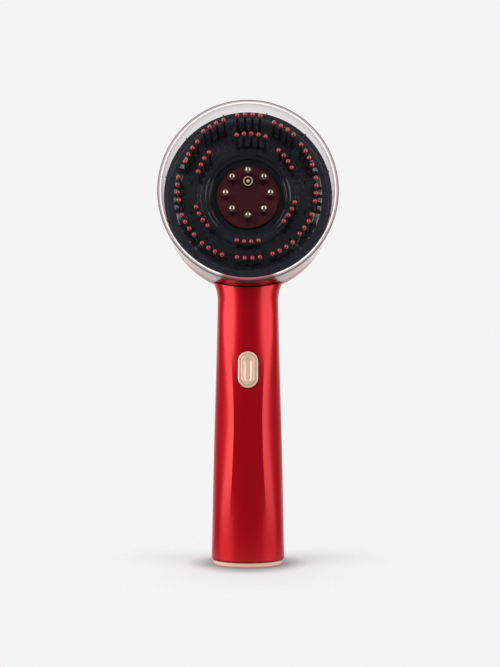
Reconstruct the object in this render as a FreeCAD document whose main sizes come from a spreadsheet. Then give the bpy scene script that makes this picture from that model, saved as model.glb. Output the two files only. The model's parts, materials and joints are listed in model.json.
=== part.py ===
import FreeCAD, Part
import math
import os
import re
import Sketcher

# Handheld scalp applicator comb: a tapered handle under a round comb head.
# Millimetres, +Z up, front towards -Y, origin at the middle of the foot.
# The head axis runs along Y at head_height; depths along Y grow towards the back.

doc = FreeCAD.newDocument("scalp_applicator_comb")
sheet = doc.addObject("Spreadsheet::Sheet", "Sizes")

SIZES = {
    # Clear ring round the head
    "head_height": "=waist_height + neck_rise + ring_radius",
    "rim_front": -35.0,
    "ring_radius": "=outer_row_radius + row_room + trough_slope + land_width + slide_gap + ring_wall",
    "ring_wall": 1.8,
    "ring_back": 2.0,
    "tab_reach": 2.8,
    "tab_width": 0.8,
    "tab_thickness": 0.9,
    # Comb plate
    "comb_depth": 13.0,
    "plate_wall": 2.2,
    "land_width": 5.0,
    "trough_depth": 2.5,
    "trough_slope": 2.4,
    "collar_radius": "=window_radius + recess_width + step_width + collar_width",
    "collar_width": 2.6,
    "collar_height": 2.0,
    "step_width": 2.0,
    "step_drop": 1.0,
    "recess_width": 3.4,
    "recess_depth": 4.5,
    # Bristles
    "bristle_reach": 20.8,
    "bristle_pitch": 3.68,
    "inner_bristle_pitch": 3.5,
    "inner_row_radius": "=collar_radius + inner_row_margin",
    "inner_row_margin": 1.3,
    "outer_row_radius": "=inner_row_radius + row_gap",
    "row_gap": 8.5,
    "row_room": 1.1,
    "stem_foot_radius": 0.8,
    "stem_end_radius": 0.5,
    "tip_radius": 1.05,
    "tip_cover": 0.4,
    "rail_width": 1.6,
    "rail_thickness": 1.0,
    # Light spots in the comb plate
    "lens_radius": 1.0,
    "lens_stand": 0.4,
    "lens_ring_radius": "=(inner_row_radius + outer_row_radius) / 2",
    "led_board_thickness": 1.2,
    # Applicator window, tank and valves
    "window_radius": 15.6,
    "window_thickness": 2.0,
    "window_set_back": 2.0,
    "seal_thickness": 0.8,
    "tank_wall": 1.5,
    "tank_depth": 15.0,
    "tank_flange_radius": "=window_radius + recess_width",
    "bead_ring_radius": "=window_radius - bead_margin",
    "bead_margin": 4.6,
    "bead_radius": 1.6,
    "bead_stand": 11.0,
    "valve_stem_radius": 0.8,
    "valve_head_radius": 1.7,
    "valve_head_length": 1.3,
    "guide_wall": 0.4,
    "guide_length": 7.5,
    "spring_room": 5.2,
    "sheet_thickness": 0.8,
    "spring_plate_thickness": 1.2,
    "oil_hole_radius": 2.0,
    "filler_height": "=bead_ring_radius - filler_margin",
    "filler_margin": 4.2,
    "filler_radius": 2.35,
    "filler_bore_radius": "=filler_radius - filler_wall",
    "filler_wall": 0.45,
    "filler_length": 6.0,
    "plug_set_back": 1.5,
    "stud_radius": 0.75,
    # Housing and handle
    "shell_wall": 2.2,
    "dome_depth": 24.0,
    "dome_round": 18.0,
    "rim_band": 2.0,
    "foot_height": 2.4,
    "foot_width": 37.9,
    "foot_depth": 31.0,
    "foot_round": 0.8,
    "waist_height": "=motor_bottom + motor_length + weight_gap + weight_length + waist_lift",
    "waist_lift": 5.0,
    "waist_width": 31.6,
    "waist_depth": 26.5,
    "neck_height": "=head_height - ring_radius + neck_lap",
    "neck_rise": 5.4,
    "neck_lap": 7.6,
    "neck_width": 42.0,
    "wire_passage_radius": 3.0,
    "wire_passage_back": 7.2,
    # Base cap and charging socket
    "base_inset": 0.8,
    "base_chamfer": 0.4,
    "spigot_height": 6.0,
    "spigot_wall": 1.6,
    "port_back": 6.5,
    "port_width": 8.94,
    "port_height": 3.26,
    "port_length": 7.3,
    "port_shell": 0.35,
    "port_sink": 0.4,
    "tongue_width": 6.7,
    "tongue_thickness": 0.7,
    # Inner chassis, cell, board and motor
    "spine_front": -6.6,
    "spine_thickness": 1.6,
    "spine_width": 16.0,
    "spine_bottom": 10.0,
    "spine_top": "=waist_height - spine_margin",
    "spine_margin": 3.0,
    "cell_radius": 7.1,
    "cell_length": 50.0,
    "cell_bottom": "=screw_low + cell_lift",
    "cell_lift": 10.0,
    "cell_back": 2.5,
    "saddle_wall": 1.3,
    "saddle_height": 5.0,
    "screw_low": 18.0,
    "screw_high": "=cell_bottom + cell_length + screw_lift",
    "screw_lift": 4.0,
    "boss_radius": 2.5,
    "screw_radius": 0.8,
    "screw_head_radius": 1.9,
    "screw_head_length": 1.2,
    "screw_bite": 3.4,
    "board_bottom": "=screw_high + screw_lift",
    "board_length": 32.0,
    "board_width": 13.0,
    "board_thickness": 1.6,
    "motor_bottom": "=board_bottom + motor_lift",
    "motor_lift": 18.0,
    "motor_length": 22.0,
    "motor_radius": 6.0,
    "sleeve_wall": 1.1,
    "sleeve_length": 18.0,
    "shaft_radius": 0.75,
    "shaft_seat": 18.0,
    "weight_radius": 5.4,
    "weight_length": 5.0,
    "weight_gap": 1.0,
    # Push button
    "button_height": "=board_bottom + button_lift",
    "button_lift": 14.4,
    "bezel_width": 10.3,
    "bezel_length": 18.6,
    "bezel_band": 1.5,
    "button_taper_share": 0.734,
    "bezel_stand": 0.5515,
    "bezel_depth": 2.8,
    "bezel_front": "=-(foot_depth + (waist_depth - foot_depth) * button_taper_share) / 2 - bezel_stand",
    "bezel_back": "=bezel_front + bezel_depth",
    "cap_stand": 0.4,
    "cap_round": 0.35,
    "groove_inset": 0.9,
    "groove_width": 0.5,
    "groove_depth": 0.45,
    "pad_slot_width": 0.45,
    "cap_flange_lip": 1.0,
    "cap_flange_thickness": 0.8,
    "switch_size": 4.5,
    "switch_height": 1.2,
    "plunger_radius": 1.0,
    "plunger_sunk": 0.3,
    # Clearances
    "fit_gap": 0.15,
    "slide_gap": 0.3,
    "run_gap": 0.05,
    "overrun": 20.0,
}

ROW_BRISTLES = 4
TOP_INNER_BRISTLES = 5
BEADS = 8
LENSES = 12
TABS = 12
STEM_SIDES = 6
TIP_SIDES = 8
BEAD_SIDES = 12
OUTER_ROW_TURNS = (0.6, 31.4, 61.0, 91.8, 122.4, 150.3, 179.6, 210.3, 238.1, 269.0, 302.1, 330.6)
OUTER_LEAN_SHARES = (0.056, -0.013, -0.047, -0.040, -0.018, 0.012,
                     0.016, 0.046, 0.033, 0.008, -0.047, 0.029)
INNER_ROW_TURNS = (3.4, 52.7, 120.5, 180.3, 238.0, 299.6)
INNER_LEAN_SHARES = (0.029, -0.101, -0.071, 0.045, 0.075, 0.0)
LENS_TURN = 15.0
TAB_TURN = 13.0
CREASE_TURN = 33.0
RIM_ROUND_SHARE = 0.42
HEIGHT_SHARES = (0.0, 0.15, 0.30, 0.52, 0.81, 1.0)
TAPER_SHARES = (0.0, 0.12, 0.25, 0.49, 0.83, 1.0)
CREASE_SHARES = (0.0, 0.1, 0.6, 1.0, 0.1, 0.0)
SPLIT_SHARES = (0.56, 0.52, 0.46, 0.42, 0.54, 0.60)
CREASE_RISE_SHARE = 0.045
PANEL_SHARE = 0.985
LEAVE_SHARE = 0.35
ARRIVE_SHARE = 0.28
FLARE_HEIGHT_SHARES = (0.35, 0.69, 1.0)
FLARE_WIDTH_SHARES = (0.10, 0.42, 1.0)
TIP_LENGTH_SHARES = (-1.0, -0.35, 0.35, 1.0)
TIP_RADIUS_SHARES = (0.62, 1.0, 1.0, 0.45)
BEAD_LENGTH_SHARES = (-1.0, -0.65, 0.0, 0.65)
BEAD_RADIUS_SHARES = (0.35, 0.78, 1.0, 0.78)

WORD = re.compile(r"[a-z_]+")
Vector = FreeCAD.Vector
HEAD_TURN = FreeCAD.Rotation(Vector(1, 0, 0), -90)
nodes = []


def fill_sheet():
    """Write every dimension into the sheet under its own name, as a number or a formula."""
    for row, name in enumerate(SIZES, 1):
        sheet.set("A%d" % row, name)
        sheet.setAlias("B%d" % row, name)
    for row, value in enumerate(SIZES.values(), 1):
        sheet.set("B%d" % row, str(value))
    doc.recompute()


def size(name):
    """Value of one dimension."""
    return float(sheet.get(name))


def refer(text):
    """Turn the size names of a formula into references to the sheet."""
    return WORD.sub(lambda m: "Sizes." + m.group() if m.group() in SIZES else m.group(), text)


def worth(text):
    """Number that a formula of size names stands for."""
    return float(sheet.evalExpression(refer(text)))


def bind(item, formulas):
    """Tie properties of a document object to formulas of size names."""
    for name, text in formulas.items():
        item.setExpression(name, refer(text))


def node(item, label):
    """Name a finished sub-part and list it for writing."""
    item.Label = label
    nodes.append(item)
    return item


def bar(name, radius, start, length, x="0", z="head_height"):
    """Round bar along Y from a starting depth."""
    item = doc.addObject("Part::Cylinder", name)
    item.Placement.Rotation = HEAD_TURN
    bind(item, {"Radius": radius, "Height": length, "Placement.Base.x": x,
                "Placement.Base.y": start, "Placement.Base.z": z})
    return item


def post(name, radius, bottom, length, y="0", x="0"):
    """Round post along Z from a starting height."""
    item = doc.addObject("Part::Cylinder", name)
    bind(item, {"Radius": radius, "Height": length, "Placement.Base.x": x,
                "Placement.Base.y": y, "Placement.Base.z": bottom})
    return item


def block(name, width, depth, height, front, bottom):
    """Box centred across X, given by its front face and its underside."""
    item = doc.addObject("Part::Box", name)
    bind(item, {"Length": width, "Width": depth, "Height": height,
                "Placement.Base.x": "-(%s) / 2" % width,
                "Placement.Base.y": front, "Placement.Base.z": bottom})
    return item


def join(name, items):
    """Fuse solids into one."""
    item = doc.addObject("Part::MultiFuse", name)
    item.Shapes = items
    item.Refine = True
    return item


def cut(name, base, tool):
    """Take one solid away from another."""
    item = doc.addObject("Part::Cut", name)
    item.Base = base
    item.Tool = tool
    return item


def keep(name, base, tool):
    """Keep what two solids share."""
    item = doc.addObject("Part::Common", name)
    item.Base = base
    item.Tool = tool
    return item


def fixed(name, shape):
    """Document object that holds a shape made in code."""
    item = doc.addObject("Part::Feature", name)
    item.Shape = shape
    return item


def softened(name, base, rounding, front, back, kind="Part::Fillet"):
    """Round or bevel the edges that lie wholly between two depths."""
    doc.recompute()
    edges = []
    for i, edge in enumerate(base.Shape.Edges, 1):
        if worth(front) < edge.BoundBox.YMin and edge.BoundBox.YMax < worth(back):
            edges.append((i, worth(rounding), worth(rounding)))
    item = doc.addObject(kind, name)
    item.Base = base
    item.Edges = edges
    return item


def slot_bar(name, width, height, start, length, z):
    """Upright slot shape with round ends, drawn out along Y."""
    half = "(%s) / 2" % width
    spread = "((%s) - (%s)) / 2" % (height, width)
    middle = block(name + "_middle", width, length, "2 * " + spread, start, "%s - %s" % (z, spread))
    low = bar(name + "_low", half, start, length, z="%s - %s" % (z, spread))
    high = bar(name + "_high", half, start, length, z="%s + %s" % (z, spread))
    return join(name, [middle, low, high])


def turned(name, corners):
    """Ring turned about the head axis from (depth, radius) corners."""
    body = doc.addObject("PartDesign::Body", name)
    profile = body.newObject("Sketcher::SketchObject", name + "_profile")
    plane = [f for f in body.Origin.OriginFeatures if f.Role == "YZ_Plane"][0]
    profile.AttachmentSupport = [(plane, "")]
    profile.MapMode = "FlatFace"
    bind(profile, {"AttachmentOffset.Base.y": "head_height"})
    points = [Vector(worth(depth), worth(radius), 0) for depth, radius in corners]
    count = len(points)
    for i, start in enumerate(points):
        profile.addGeometry(Part.LineSegment(start, points[(i + 1) % count]), False)
    for i in range(count):
        profile.addConstraint(Sketcher.Constraint("Coincident", i, 2, (i + 1) % count, 1))
    for i, (depth, radius) in enumerate(corners):
        for kind, text, value in (("DistanceX", depth, points[i].x), ("DistanceY", radius, points[i].y)):
            index = profile.addConstraint(Sketcher.Constraint(kind, -1, 1, i, 1, value))
            profile.setExpression("Constraints[%d]" % index, refer(text))
    ring = body.newObject("PartDesign::Revolution", name + "_turned")
    ring.Profile = profile
    ring.ReferenceAxis = (profile, ["H_Axis"])
    ring.Angle = 360
    doc.recompute()
    return body


def polygon(radius, depth, rise, sides):
    """Closed regular outline square to Y, lifted by a rise."""
    corners = []
    for i in range(sides + 1):
        turn = 2 * math.pi * i / sides
        corners.append(Vector(radius * math.sin(turn), depth, rise + radius * math.cos(turn)))
    return Part.makePolygon(corners)


def many_sided(stations, sides, lean=0, foot=0):
    """Solid along Y through regular outlines at (depth, radius) stations, leaning from a foot depth."""
    outlines = [polygon(radius, depth, lean * (foot - depth), sides) for depth, radius in stations]
    return Part.makeLoft(outlines, True, True)


def spot(radius, turn):
    """Place on the head face, at a radius and an angle clockwise from the top."""
    angle = math.radians(turn)
    return Vector(radius * math.sin(angle), 0, size("head_height") + radius * math.cos(angle))


def head_swing(turn):
    """Turn about the head axis, clockwise as seen from the front."""
    middle = Vector(0, 0, size("head_height"))
    return FreeCAD.Placement(Vector(), FreeCAD.Rotation(Vector(0, 1, 0), turn), middle)


def handle_measures(share_index):
    """Height, width and depth of one handle section."""
    rise = HEIGHT_SHARES[share_index]
    taper = TAPER_SHARES[share_index]
    height = size("foot_height") + rise * (size("waist_height") - size("foot_height"))
    width = size("foot_width") + taper * (size("waist_width") - size("foot_width"))
    depth = size("foot_depth") + taper * (size("waist_depth") - size("foot_depth"))
    return height, width, depth


def arc_poles(half_width, half_depth, start, end):
    """Control points of a curve along an oval between two angles."""
    reach = 4 / 3 * math.tan((end - start) / 4)
    first = Vector(half_width * math.cos(start), half_depth * math.sin(start), 0)
    last = Vector(half_width * math.cos(end), half_depth * math.sin(end), 0)
    leaving = Vector(-half_width * math.sin(start), half_depth * math.cos(start), 0)
    arriving = Vector(-half_width * math.sin(end), half_depth * math.cos(end), 0)
    return [first, first + leaving * reach, last - arriving * reach, last]


def creased_poles(front, half_width, half_depth):
    """Control points of a flatter front panel and of the side that leaves it at a crease."""
    turn = math.radians(CREASE_TURN)
    corner = front[3] - Vector(0, CREASE_RISE_SHARE * half_depth, 0)
    level = (4 * PANEL_SHARE * half_depth + corner.y) / 3
    panel = [Vector(-corner.x, corner.y, 0), Vector(-corner.x / 3, -level, 0),
             Vector(corner.x / 3, -level, 0), corner]
    leaving = Vector(math.cos(turn), math.sin(turn), 0) * LEAVE_SHARE * half_depth
    arriving = Vector(half_width, -ARRIVE_SHARE * half_depth, 0)
    return panel, [corner, corner + leaving, arriving, Vector(half_width, 0, 0)]


def oval(name, height, width, depth, crease=0, split=SPLIT_SHARES[0]):
    """Closed oval outline square to the handle, its front flattened between two creases."""
    half_width = width / 2
    half_depth = depth / 2
    ahead = -math.pi / 2
    front = arc_poles(half_width, half_depth, ahead - math.asin(split), ahead + math.asin(split))
    side = arc_poles(half_width, half_depth, ahead + math.asin(split), 0)
    panel, flank = creased_poles(front, half_width, half_depth)
    front = [plain + (bent - plain) * crease for plain, bent in zip(front, panel)]
    side = [plain + (bent - plain) * crease for plain, bent in zip(side, flank)]
    other_side = [Vector(-pole.x, pole.y, 0) for pole in reversed(side)]
    back = arc_poles(half_width, half_depth, 0, math.pi / 2)
    other_back = arc_poles(half_width, half_depth, math.pi / 2, math.pi)
    edges = []
    for poles in (front, side, back, other_back, other_side):
        curve = Part.BezierCurve()
        curve.setPoles(poles)
        edges.append(curve.toShape())
    item = fixed(name, Part.Wire(edges))
    item.Placement.Base = Vector(0, 0, height)
    return item


def loft(name, sections):
    """Smooth solid through closed outlines."""
    item = doc.addObject("Part::Loft", name)
    item.Sections = sections
    item.Solid = True
    item.Ruled = False
    return item


def drawn_up(name, outline, length):
    """Straight solid drawn up from a closed outline."""
    item = doc.addObject("Part::Extrusion", name)
    item.Base = outline
    item.DirMode = "Custom"
    item.Dir = Vector(0, 0, 1)
    item.Solid = True
    bind(item, {"LengthFwd": length})
    return item


def plain_outlines(name, inset):
    """Uncreased outlines of the tapered handle up to the waist, drawn in by an inset all round."""
    outlines = []
    for i in range(len(HEIGHT_SHARES)):
        height, width, depth = handle_measures(i)
        outlines.append(oval("%s_%d" % (name, i), height, width - 2 * inset, depth - 2 * inset))
    return outlines


def outer_handle():
    """Handle with its creased front, flared neck and bevelled foot edge."""
    outlines = []
    for i, (crease, split) in enumerate(zip(CREASE_SHARES, SPLIT_SHARES)):
        height, width, depth = handle_measures(i)
        if i == 0:
            height += size("foot_round")
        outlines.append(oval("handle_outline_%d" % i, height, width, depth, crease, split))
    neck_outlines = [outlines[-1]]
    for rise, spread in zip(FLARE_HEIGHT_SHARES, FLARE_WIDTH_SHARES):
        height = size("waist_height") + rise * (size("neck_height") - size("waist_height"))
        width = size("waist_width") + spread * (size("neck_width") - size("waist_width"))
        name = "neck_outline_%d" % len(neck_outlines)
        neck_outlines.append(oval(name, height, width, size("waist_depth"), 0, SPLIT_SHARES[-1]))
    foot = oval("foot_outline", size("foot_height"), size("foot_width") - size("foot_round"),
                size("foot_depth") - size("foot_round"))
    bevel = loft("foot_bevel", [foot, outlines[0]])
    return [bevel, loft("handle_taper", outlines), loft("neck_flare", neck_outlines)]


def rounded_back(name, radius, start, length, rounding):
    """Round bar along Y whose back edge is softly rounded."""
    plain = bar(name + "_plain", radius, start, length)
    return softened(name, plain, rounding, start, "%s + %s + overrun" % (start, length))


def make_housing():
    """Front and rear shells of the handle, neck and head."""
    dome = rounded_back("head_dome", "ring_radius", "ring_back", "dome_depth", "dome_round")
    outside = join("housing_outside", outer_handle() + [dome])
    hollow_dome = rounded_back("head_hollow", "ring_radius - shell_wall", "ring_back - overrun",
                               "dome_depth - shell_wall + overrun", "dome_round - shell_wall")
    hollow = loft("handle_hollow", plain_outlines("hollow_outline", size("shell_wall")))
    seat = bar("ring_seat", "ring_radius + slide_gap", "rim_front - overrun",
               "ring_back - rim_front + overrun")
    passage = post("wire_passage", "wire_passage_radius", "waist_height - overrun / 2", "overrun * 3 / 2",
                   y="wire_passage_back")
    cavity = join("housing_cavity", [hollow_dome, seat])
    opened = cut("housing_opened", outside, cavity)
    hollowed = cut("housing_hollowed", opened, hollow)
    shell = cut("housing_shell", hollowed, passage)
    tall = "head_height + ring_radius + overrun"
    wide = "4 * ring_radius"
    front_half = block("front_half", wide, "2 * ring_radius", tall, "-2 * ring_radius", "0")
    rear_half = block("rear_half", wide, "2 * ring_radius", tall, "0", "0")
    node(keep("rear_shell", shell, rear_half), "rear_shell")
    front = keep("front_half_shell", shell, front_half)
    bosses = []
    holes = []
    for name, height in (("low", "screw_low"), ("high", "screw_high")):
        wall_depth = "(foot_depth + waist_depth) / 4"
        bosses.append(bar("boss_" + name, "boss_radius", "spine_front - " + wall_depth, wall_depth,
                          z=height))
        holes.append(bar("boss_hole_" + name, "screw_radius + run_gap",
                         "spine_front - screw_bite - slide_gap", "screw_bite + slide_gap", z=height))
    solid_handle = loft("handle_for_bosses", plain_outlines("boss_outline", size("shell_wall") / 2))
    trimmed = keep("bosses_trimmed", join("bosses", bosses), solid_handle)
    joined = join("front_with_bosses", [front, trimmed])
    opening = slot_bar("button_opening", "bezel_width + 2 * fit_gap", "bezel_length + 2 * fit_gap",
                       "bezel_front - overrun", "bezel_back - bezel_front + overrun", "button_height")
    flange_room = "bezel_width - 2 * bezel_band + 2 * cap_flange_lip + 2 * slide_gap"
    flange_length = "bezel_length - 2 * bezel_band + 2 * cap_flange_lip + 2 * slide_gap"
    pocket = slot_bar("button_pocket", flange_room, flange_length, "bezel_back", "overrun / 2",
                      "button_height")
    openings = join("front_openings", holes + [opening, pocket])
    node(cut("front_shell", joined, openings), "front_shell")


def make_base():
    """Base cap with its spigot, and the charging socket that it holds."""
    foot_width = size("foot_width") - 2 * size("base_inset")
    foot_depth = size("foot_depth") - 2 * size("base_inset")
    edge = size("base_chamfer")
    flange_outlines = [oval("base_edge", 0, foot_width - 2 * edge, foot_depth - 2 * edge),
                       oval("base_full", edge, foot_width, foot_depth),
                       oval("base_top", size("foot_height"), foot_width, foot_depth)]
    flange = loft("base_flange", flange_outlines)
    flange.Ruled = True
    inset = size("shell_wall") + size("slide_gap")
    core = inset + size("spigot_wall")
    spigot_outline = oval("spigot_outline", size("foot_height"), size("foot_width") - 2 * inset,
                          size("foot_depth") - 2 * inset)
    core_outline = oval("spigot_core_outline", size("foot_height"), size("foot_width") - 2 * core,
                        size("foot_depth") - 2 * core)
    spigot = cut("base_spigot", drawn_up("spigot_solid", spigot_outline, "spigot_height"),
                 drawn_up("spigot_core", core_outline, "spigot_height + overrun"))
    opening = port_bar("port_opening", "fit_gap", "-overrun", "2 * overrun")
    node(cut("base_cap", join("base_solid", [flange, spigot]), opening), "base_cap")
    case = port_bar("port_case", "0", "port_sink", "port_length")
    room = port_bar("port_room", "-port_shell", "port_sink - overrun", "port_length - port_shell + overrun")
    tongue = block("port_tongue", "tongue_width", "tongue_thickness", "port_length - port_sink",
                   "port_back - tongue_thickness / 2", "2 * port_sink")
    node(join("charge_socket", [cut("port_tube", case, room), tongue]), "charge_socket")


def port_bar(name, grow, bottom, length):
    """Lying slot shape of the charging socket, drawn out along Z."""
    half = "(port_height / 2 + %s)" % grow
    spread = "(port_width - port_height) / 2"
    middle = block(name + "_middle", "2 * " + spread, "2 * " + half, length, "port_back - " + half, bottom)
    left = post(name + "_left", half, bottom, length, y="port_back", x="-" + spread)
    right = post(name + "_right", half, bottom, length, y="port_back", x=spread)
    return join(name, [middle, left, right])


def saddle(name, radius, bottom):
    """Half ring on the chassis that hugs a round piece from the front."""
    outer = post(name + "_outer", radius + " + slide_gap + saddle_wall", bottom, "saddle_height",
                 y="cell_back")
    inner = post(name + "_inner", radius + " + slide_gap", bottom + " - overrun",
                 "saddle_height + 2 * overrun", y="cell_back")
    rear = block(name + "_rear", "4 * cell_radius", "4 * cell_radius", "saddle_height + 2 * overrun",
                 "cell_back", bottom + " - overrun")
    return cut(name, cut(name + "_ring", outer, inner), rear)


def make_chassis():
    """Inner spine with saddles for the cell and the motor, and its screws."""
    spine = block("spine", "spine_width", "spine_thickness", "spine_top - spine_bottom", "spine_front",
                  "spine_bottom")
    shelf = block("cell_shelf", "2 * cell_radius - 2 * saddle_wall",
                  "cell_back + cell_radius / 2 - spine_front", "saddle_wall", "spine_front",
                  "cell_bottom - fit_gap - saddle_wall")
    reach = "motor_radius + run_gap + sleeve_wall"
    saddles = [saddle("cell_saddle_low", "cell_radius", "cell_bottom + saddle_height"),
               saddle("cell_saddle_high", "cell_radius", "cell_bottom + cell_length - 2 * saddle_height"),
               saddle("motor_saddle", reach, "motor_bottom + motor_length / 2 - saddle_height / 2")]
    clear_cell = post("cell_clear", "cell_radius + slide_gap", "cell_bottom - fit_gap",
                      "cell_length + overrun / 2", y="cell_back")
    frame = cut("chassis_solid", join("chassis_joined", [spine, shelf] + saddles), clear_cell)
    holes = []
    screws = []
    for name, height in (("low", "screw_low"), ("high", "screw_high")):
        holes.append(bar("spine_hole_" + name, "screw_radius + slide_gap", "spine_front - overrun",
                         "2 * overrun", z=height))
        spine_back = "spine_front + spine_thickness"
        head = bar("screw_head_" + name, "screw_head_radius", spine_back, "screw_head_length", z=height)
        shank = bar("screw_shank_" + name, "screw_radius", "spine_front - screw_bite",
                    "screw_bite + spine_thickness + screw_head_length", z=height)
        screws.append(join("screw_" + name, [head, shank]))
    node(cut("chassis", frame, join("spine_holes", holes)), "chassis")
    pair = doc.addObject("Part::Compound", "chassis_screws")
    pair.Links = screws
    node(pair, "chassis_screws")
    node(post("battery_cell", "cell_radius", "cell_bottom", "cell_length", y="cell_back"), "battery_cell")


def make_motor():
    """Vibration motor: can, rubber sleeve, shaft and off-centre weight."""
    can = post("motor_can_solid", "motor_radius", "motor_bottom", "motor_length", y="cell_back")
    bore = post("motor_bore", "shaft_radius + run_gap",
                "motor_bottom + motor_length - shaft_seat - slide_gap", "shaft_seat + overrun", y="cell_back")
    node(cut("motor_can", can, bore), "motor_can")
    sleeve_bottom = "motor_bottom + (motor_length - sleeve_length) / 2"
    sleeve = post("sleeve_solid", "motor_radius + run_gap + sleeve_wall", sleeve_bottom, "sleeve_length",
                  y="cell_back")
    hole = post("sleeve_hole", "motor_radius + run_gap", sleeve_bottom + " - overrun",
                "sleeve_length + 2 * overrun", y="cell_back")
    node(cut("motor_sleeve", sleeve, hole), "motor_sleeve")
    weight_bottom = "motor_bottom + motor_length + weight_gap"
    shaft = post("motor_shaft", "shaft_radius", "motor_bottom + motor_length - shaft_seat",
                 "shaft_seat + weight_gap + weight_length", y="cell_back")
    node(shaft, "motor_shaft")
    disc = post("weight_disc", "weight_radius", weight_bottom, "weight_length", y="cell_back")
    disc_half = block("weight_half", "2 * weight_radius", "weight_radius", "weight_length",
                      "cell_back - weight_radius - shaft_radius", weight_bottom)
    hub = post("weight_hub", "2 * shaft_radius", weight_bottom, "weight_length", y="cell_back")
    rim = keep("weight_rim", disc, disc_half)
    hub_bore = post("weight_bore", "shaft_radius + run_gap / 2", weight_bottom + " - overrun",
                    "weight_length + 2 * overrun", y="cell_back")
    node(cut("eccentric_weight", join("weight_solid", [rim, hub]), hub_bore), "eccentric_weight")


def make_button():
    """Board with its switch, and the bezel and cap in the front shell."""
    board = block("main_board", "board_width", "board_thickness", "board_length",
                  "spine_front - board_thickness", "board_bottom")
    node(board, "main_board")
    board_front = "spine_front - board_thickness"
    case = block("switch_case", "switch_size", "switch_height", "switch_size",
                 board_front + " - switch_height", "button_height - switch_size / 2")
    bore = bar("switch_bore", "plunger_radius + slide_gap / 2", board_front + " - switch_height - overrun",
               "switch_height + overrun - run_gap", z="button_height")
    node(cut("switch_body", case, bore), "switch_body")
    opening_width = "bezel_width - 2 * bezel_band"
    opening_length = "bezel_length - 2 * bezel_band"
    rim = slot_bar("bezel_solid", "bezel_width", "bezel_length", "bezel_front", "bezel_back - bezel_front",
                   "button_height")
    hole = slot_bar("bezel_hole", opening_width, opening_length, "bezel_front - overrun", "2 * overrun",
                    "button_height")
    node(cut("button_bezel", rim, hole), "button_bezel")
    cap_width = opening_width + " - 2 * slide_gap"
    cap_length = opening_length + " - 2 * slide_gap"
    cap_front = "bezel_front - cap_stand"
    flange_front = "bezel_back + slide_gap"
    flange_back = flange_front + " + cap_flange_thickness"
    top = slot_bar("cap_top", cap_width, cap_length, cap_front, "%s - (%s)" % (flange_front, cap_front),
                   "button_height")
    face = softened("cap_softened", top, "cap_round", cap_front + " - overrun", cap_front + " + cap_round")
    flange = slot_bar("cap_flange", opening_width + " + 2 * cap_flange_lip",
                      opening_length + " + 2 * cap_flange_lip", flange_front, "cap_flange_thickness",
                      "button_height")
    plunger_front = board_front + " - switch_height - cap_flange_thickness"
    foot = bar("cap_foot", "plunger_radius", flange_back, "%s - (%s)" % (plunger_front, flange_back),
               z="button_height")
    groove_width = cap_width + " - 2 * groove_inset"
    groove_length = cap_length + " - 2 * groove_inset"
    groove = racetrack("cap_groove", groove_width, groove_length, cap_front)
    pad_width = groove_width + " - 2 * groove_width - 2 * pad_slot_width"
    pad_length = groove_length + " - 2 * groove_width - 2 * pad_slot_width"
    pad_line = racetrack("cap_pad_line", pad_width, pad_length, cap_front)
    cap = cut("cap_grooved", join("cap_solid", [face, flange, foot]), join("cap_lines", [groove, pad_line]))
    node(cap, "button_cap")
    node(bar("switch_plunger", "plunger_radius", plunger_front, "cap_flange_thickness + plunger_sunk",
             z="button_height"), "switch_plunger")


def racetrack(name, width, length, front):
    """Shallow groove of racetrack shape in the button's face."""
    outer = slot_bar(name + "_outer", width, length, front + " - overrun", "overrun + groove_depth",
                     "button_height")
    inner = slot_bar(name + "_inner", width + " - 2 * groove_width", length + " - 2 * groove_width",
                     front + " - 2 * overrun", "4 * overrun", "button_height")
    return cut(name, outer, inner)


def make_ring():
    """Clear ring with a rounded rim, and the tabs inside it that hold the comb plate."""
    inner = "ring_radius - ring_wall"
    tube = turned("ring_tube", [("rim_front", "ring_radius"), ("ring_back", "ring_radius"),
                                ("ring_back", inner), ("rim_front", inner)])
    rounded = softened("ring_rounded", tube, "ring_wall * %g" % RIM_ROUND_SHARE, "rim_front - overrun",
                       "rim_front + ring_wall")
    node(rounded, "clear_ring")
    tab = block("ring_tab", "tab_width", "tab_thickness", "tab_reach",
                "rim_front + comb_depth - run_gap - tab_thickness",
                "head_height + ring_radius - ring_wall - run_gap - tab_reach")
    doc.recompute()
    tabs = [moved(tab.Shape, head_swing(TAB_TURN + 360.0 * i / TABS)) for i in range(TABS)]
    node(fixed("ring_tabs", Part.makeCompound(tabs)), "ring_tabs")


LAND = "(rim_front + comb_depth)"
FLOOR = "(rim_front + comb_depth + trough_depth)"
PLATE_BACK = "(rim_front + comb_depth + trough_depth + plate_wall)"
RECESS = "(rim_front + comb_depth + recess_depth)"
RECESS_BACK = "(rim_front + comb_depth + recess_depth + plate_wall)"
WINDOW = "(rim_front + comb_depth + window_set_back)"
WINDOW_BACK = "(rim_front + comb_depth + window_set_back + window_thickness)"
PLATE_EDGE = "(ring_radius - ring_wall - slide_gap)"
PLATE_HOLE = "(window_radius + slide_gap)"
STEP_OUT = "(collar_radius - collar_width)"
STEP_IN = "(collar_radius - collar_width - step_width)"
HUB_OUT = "(collar_radius - fit_gap)"
HUB_IN = "(collar_radius - fit_gap - plate_wall)"


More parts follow.
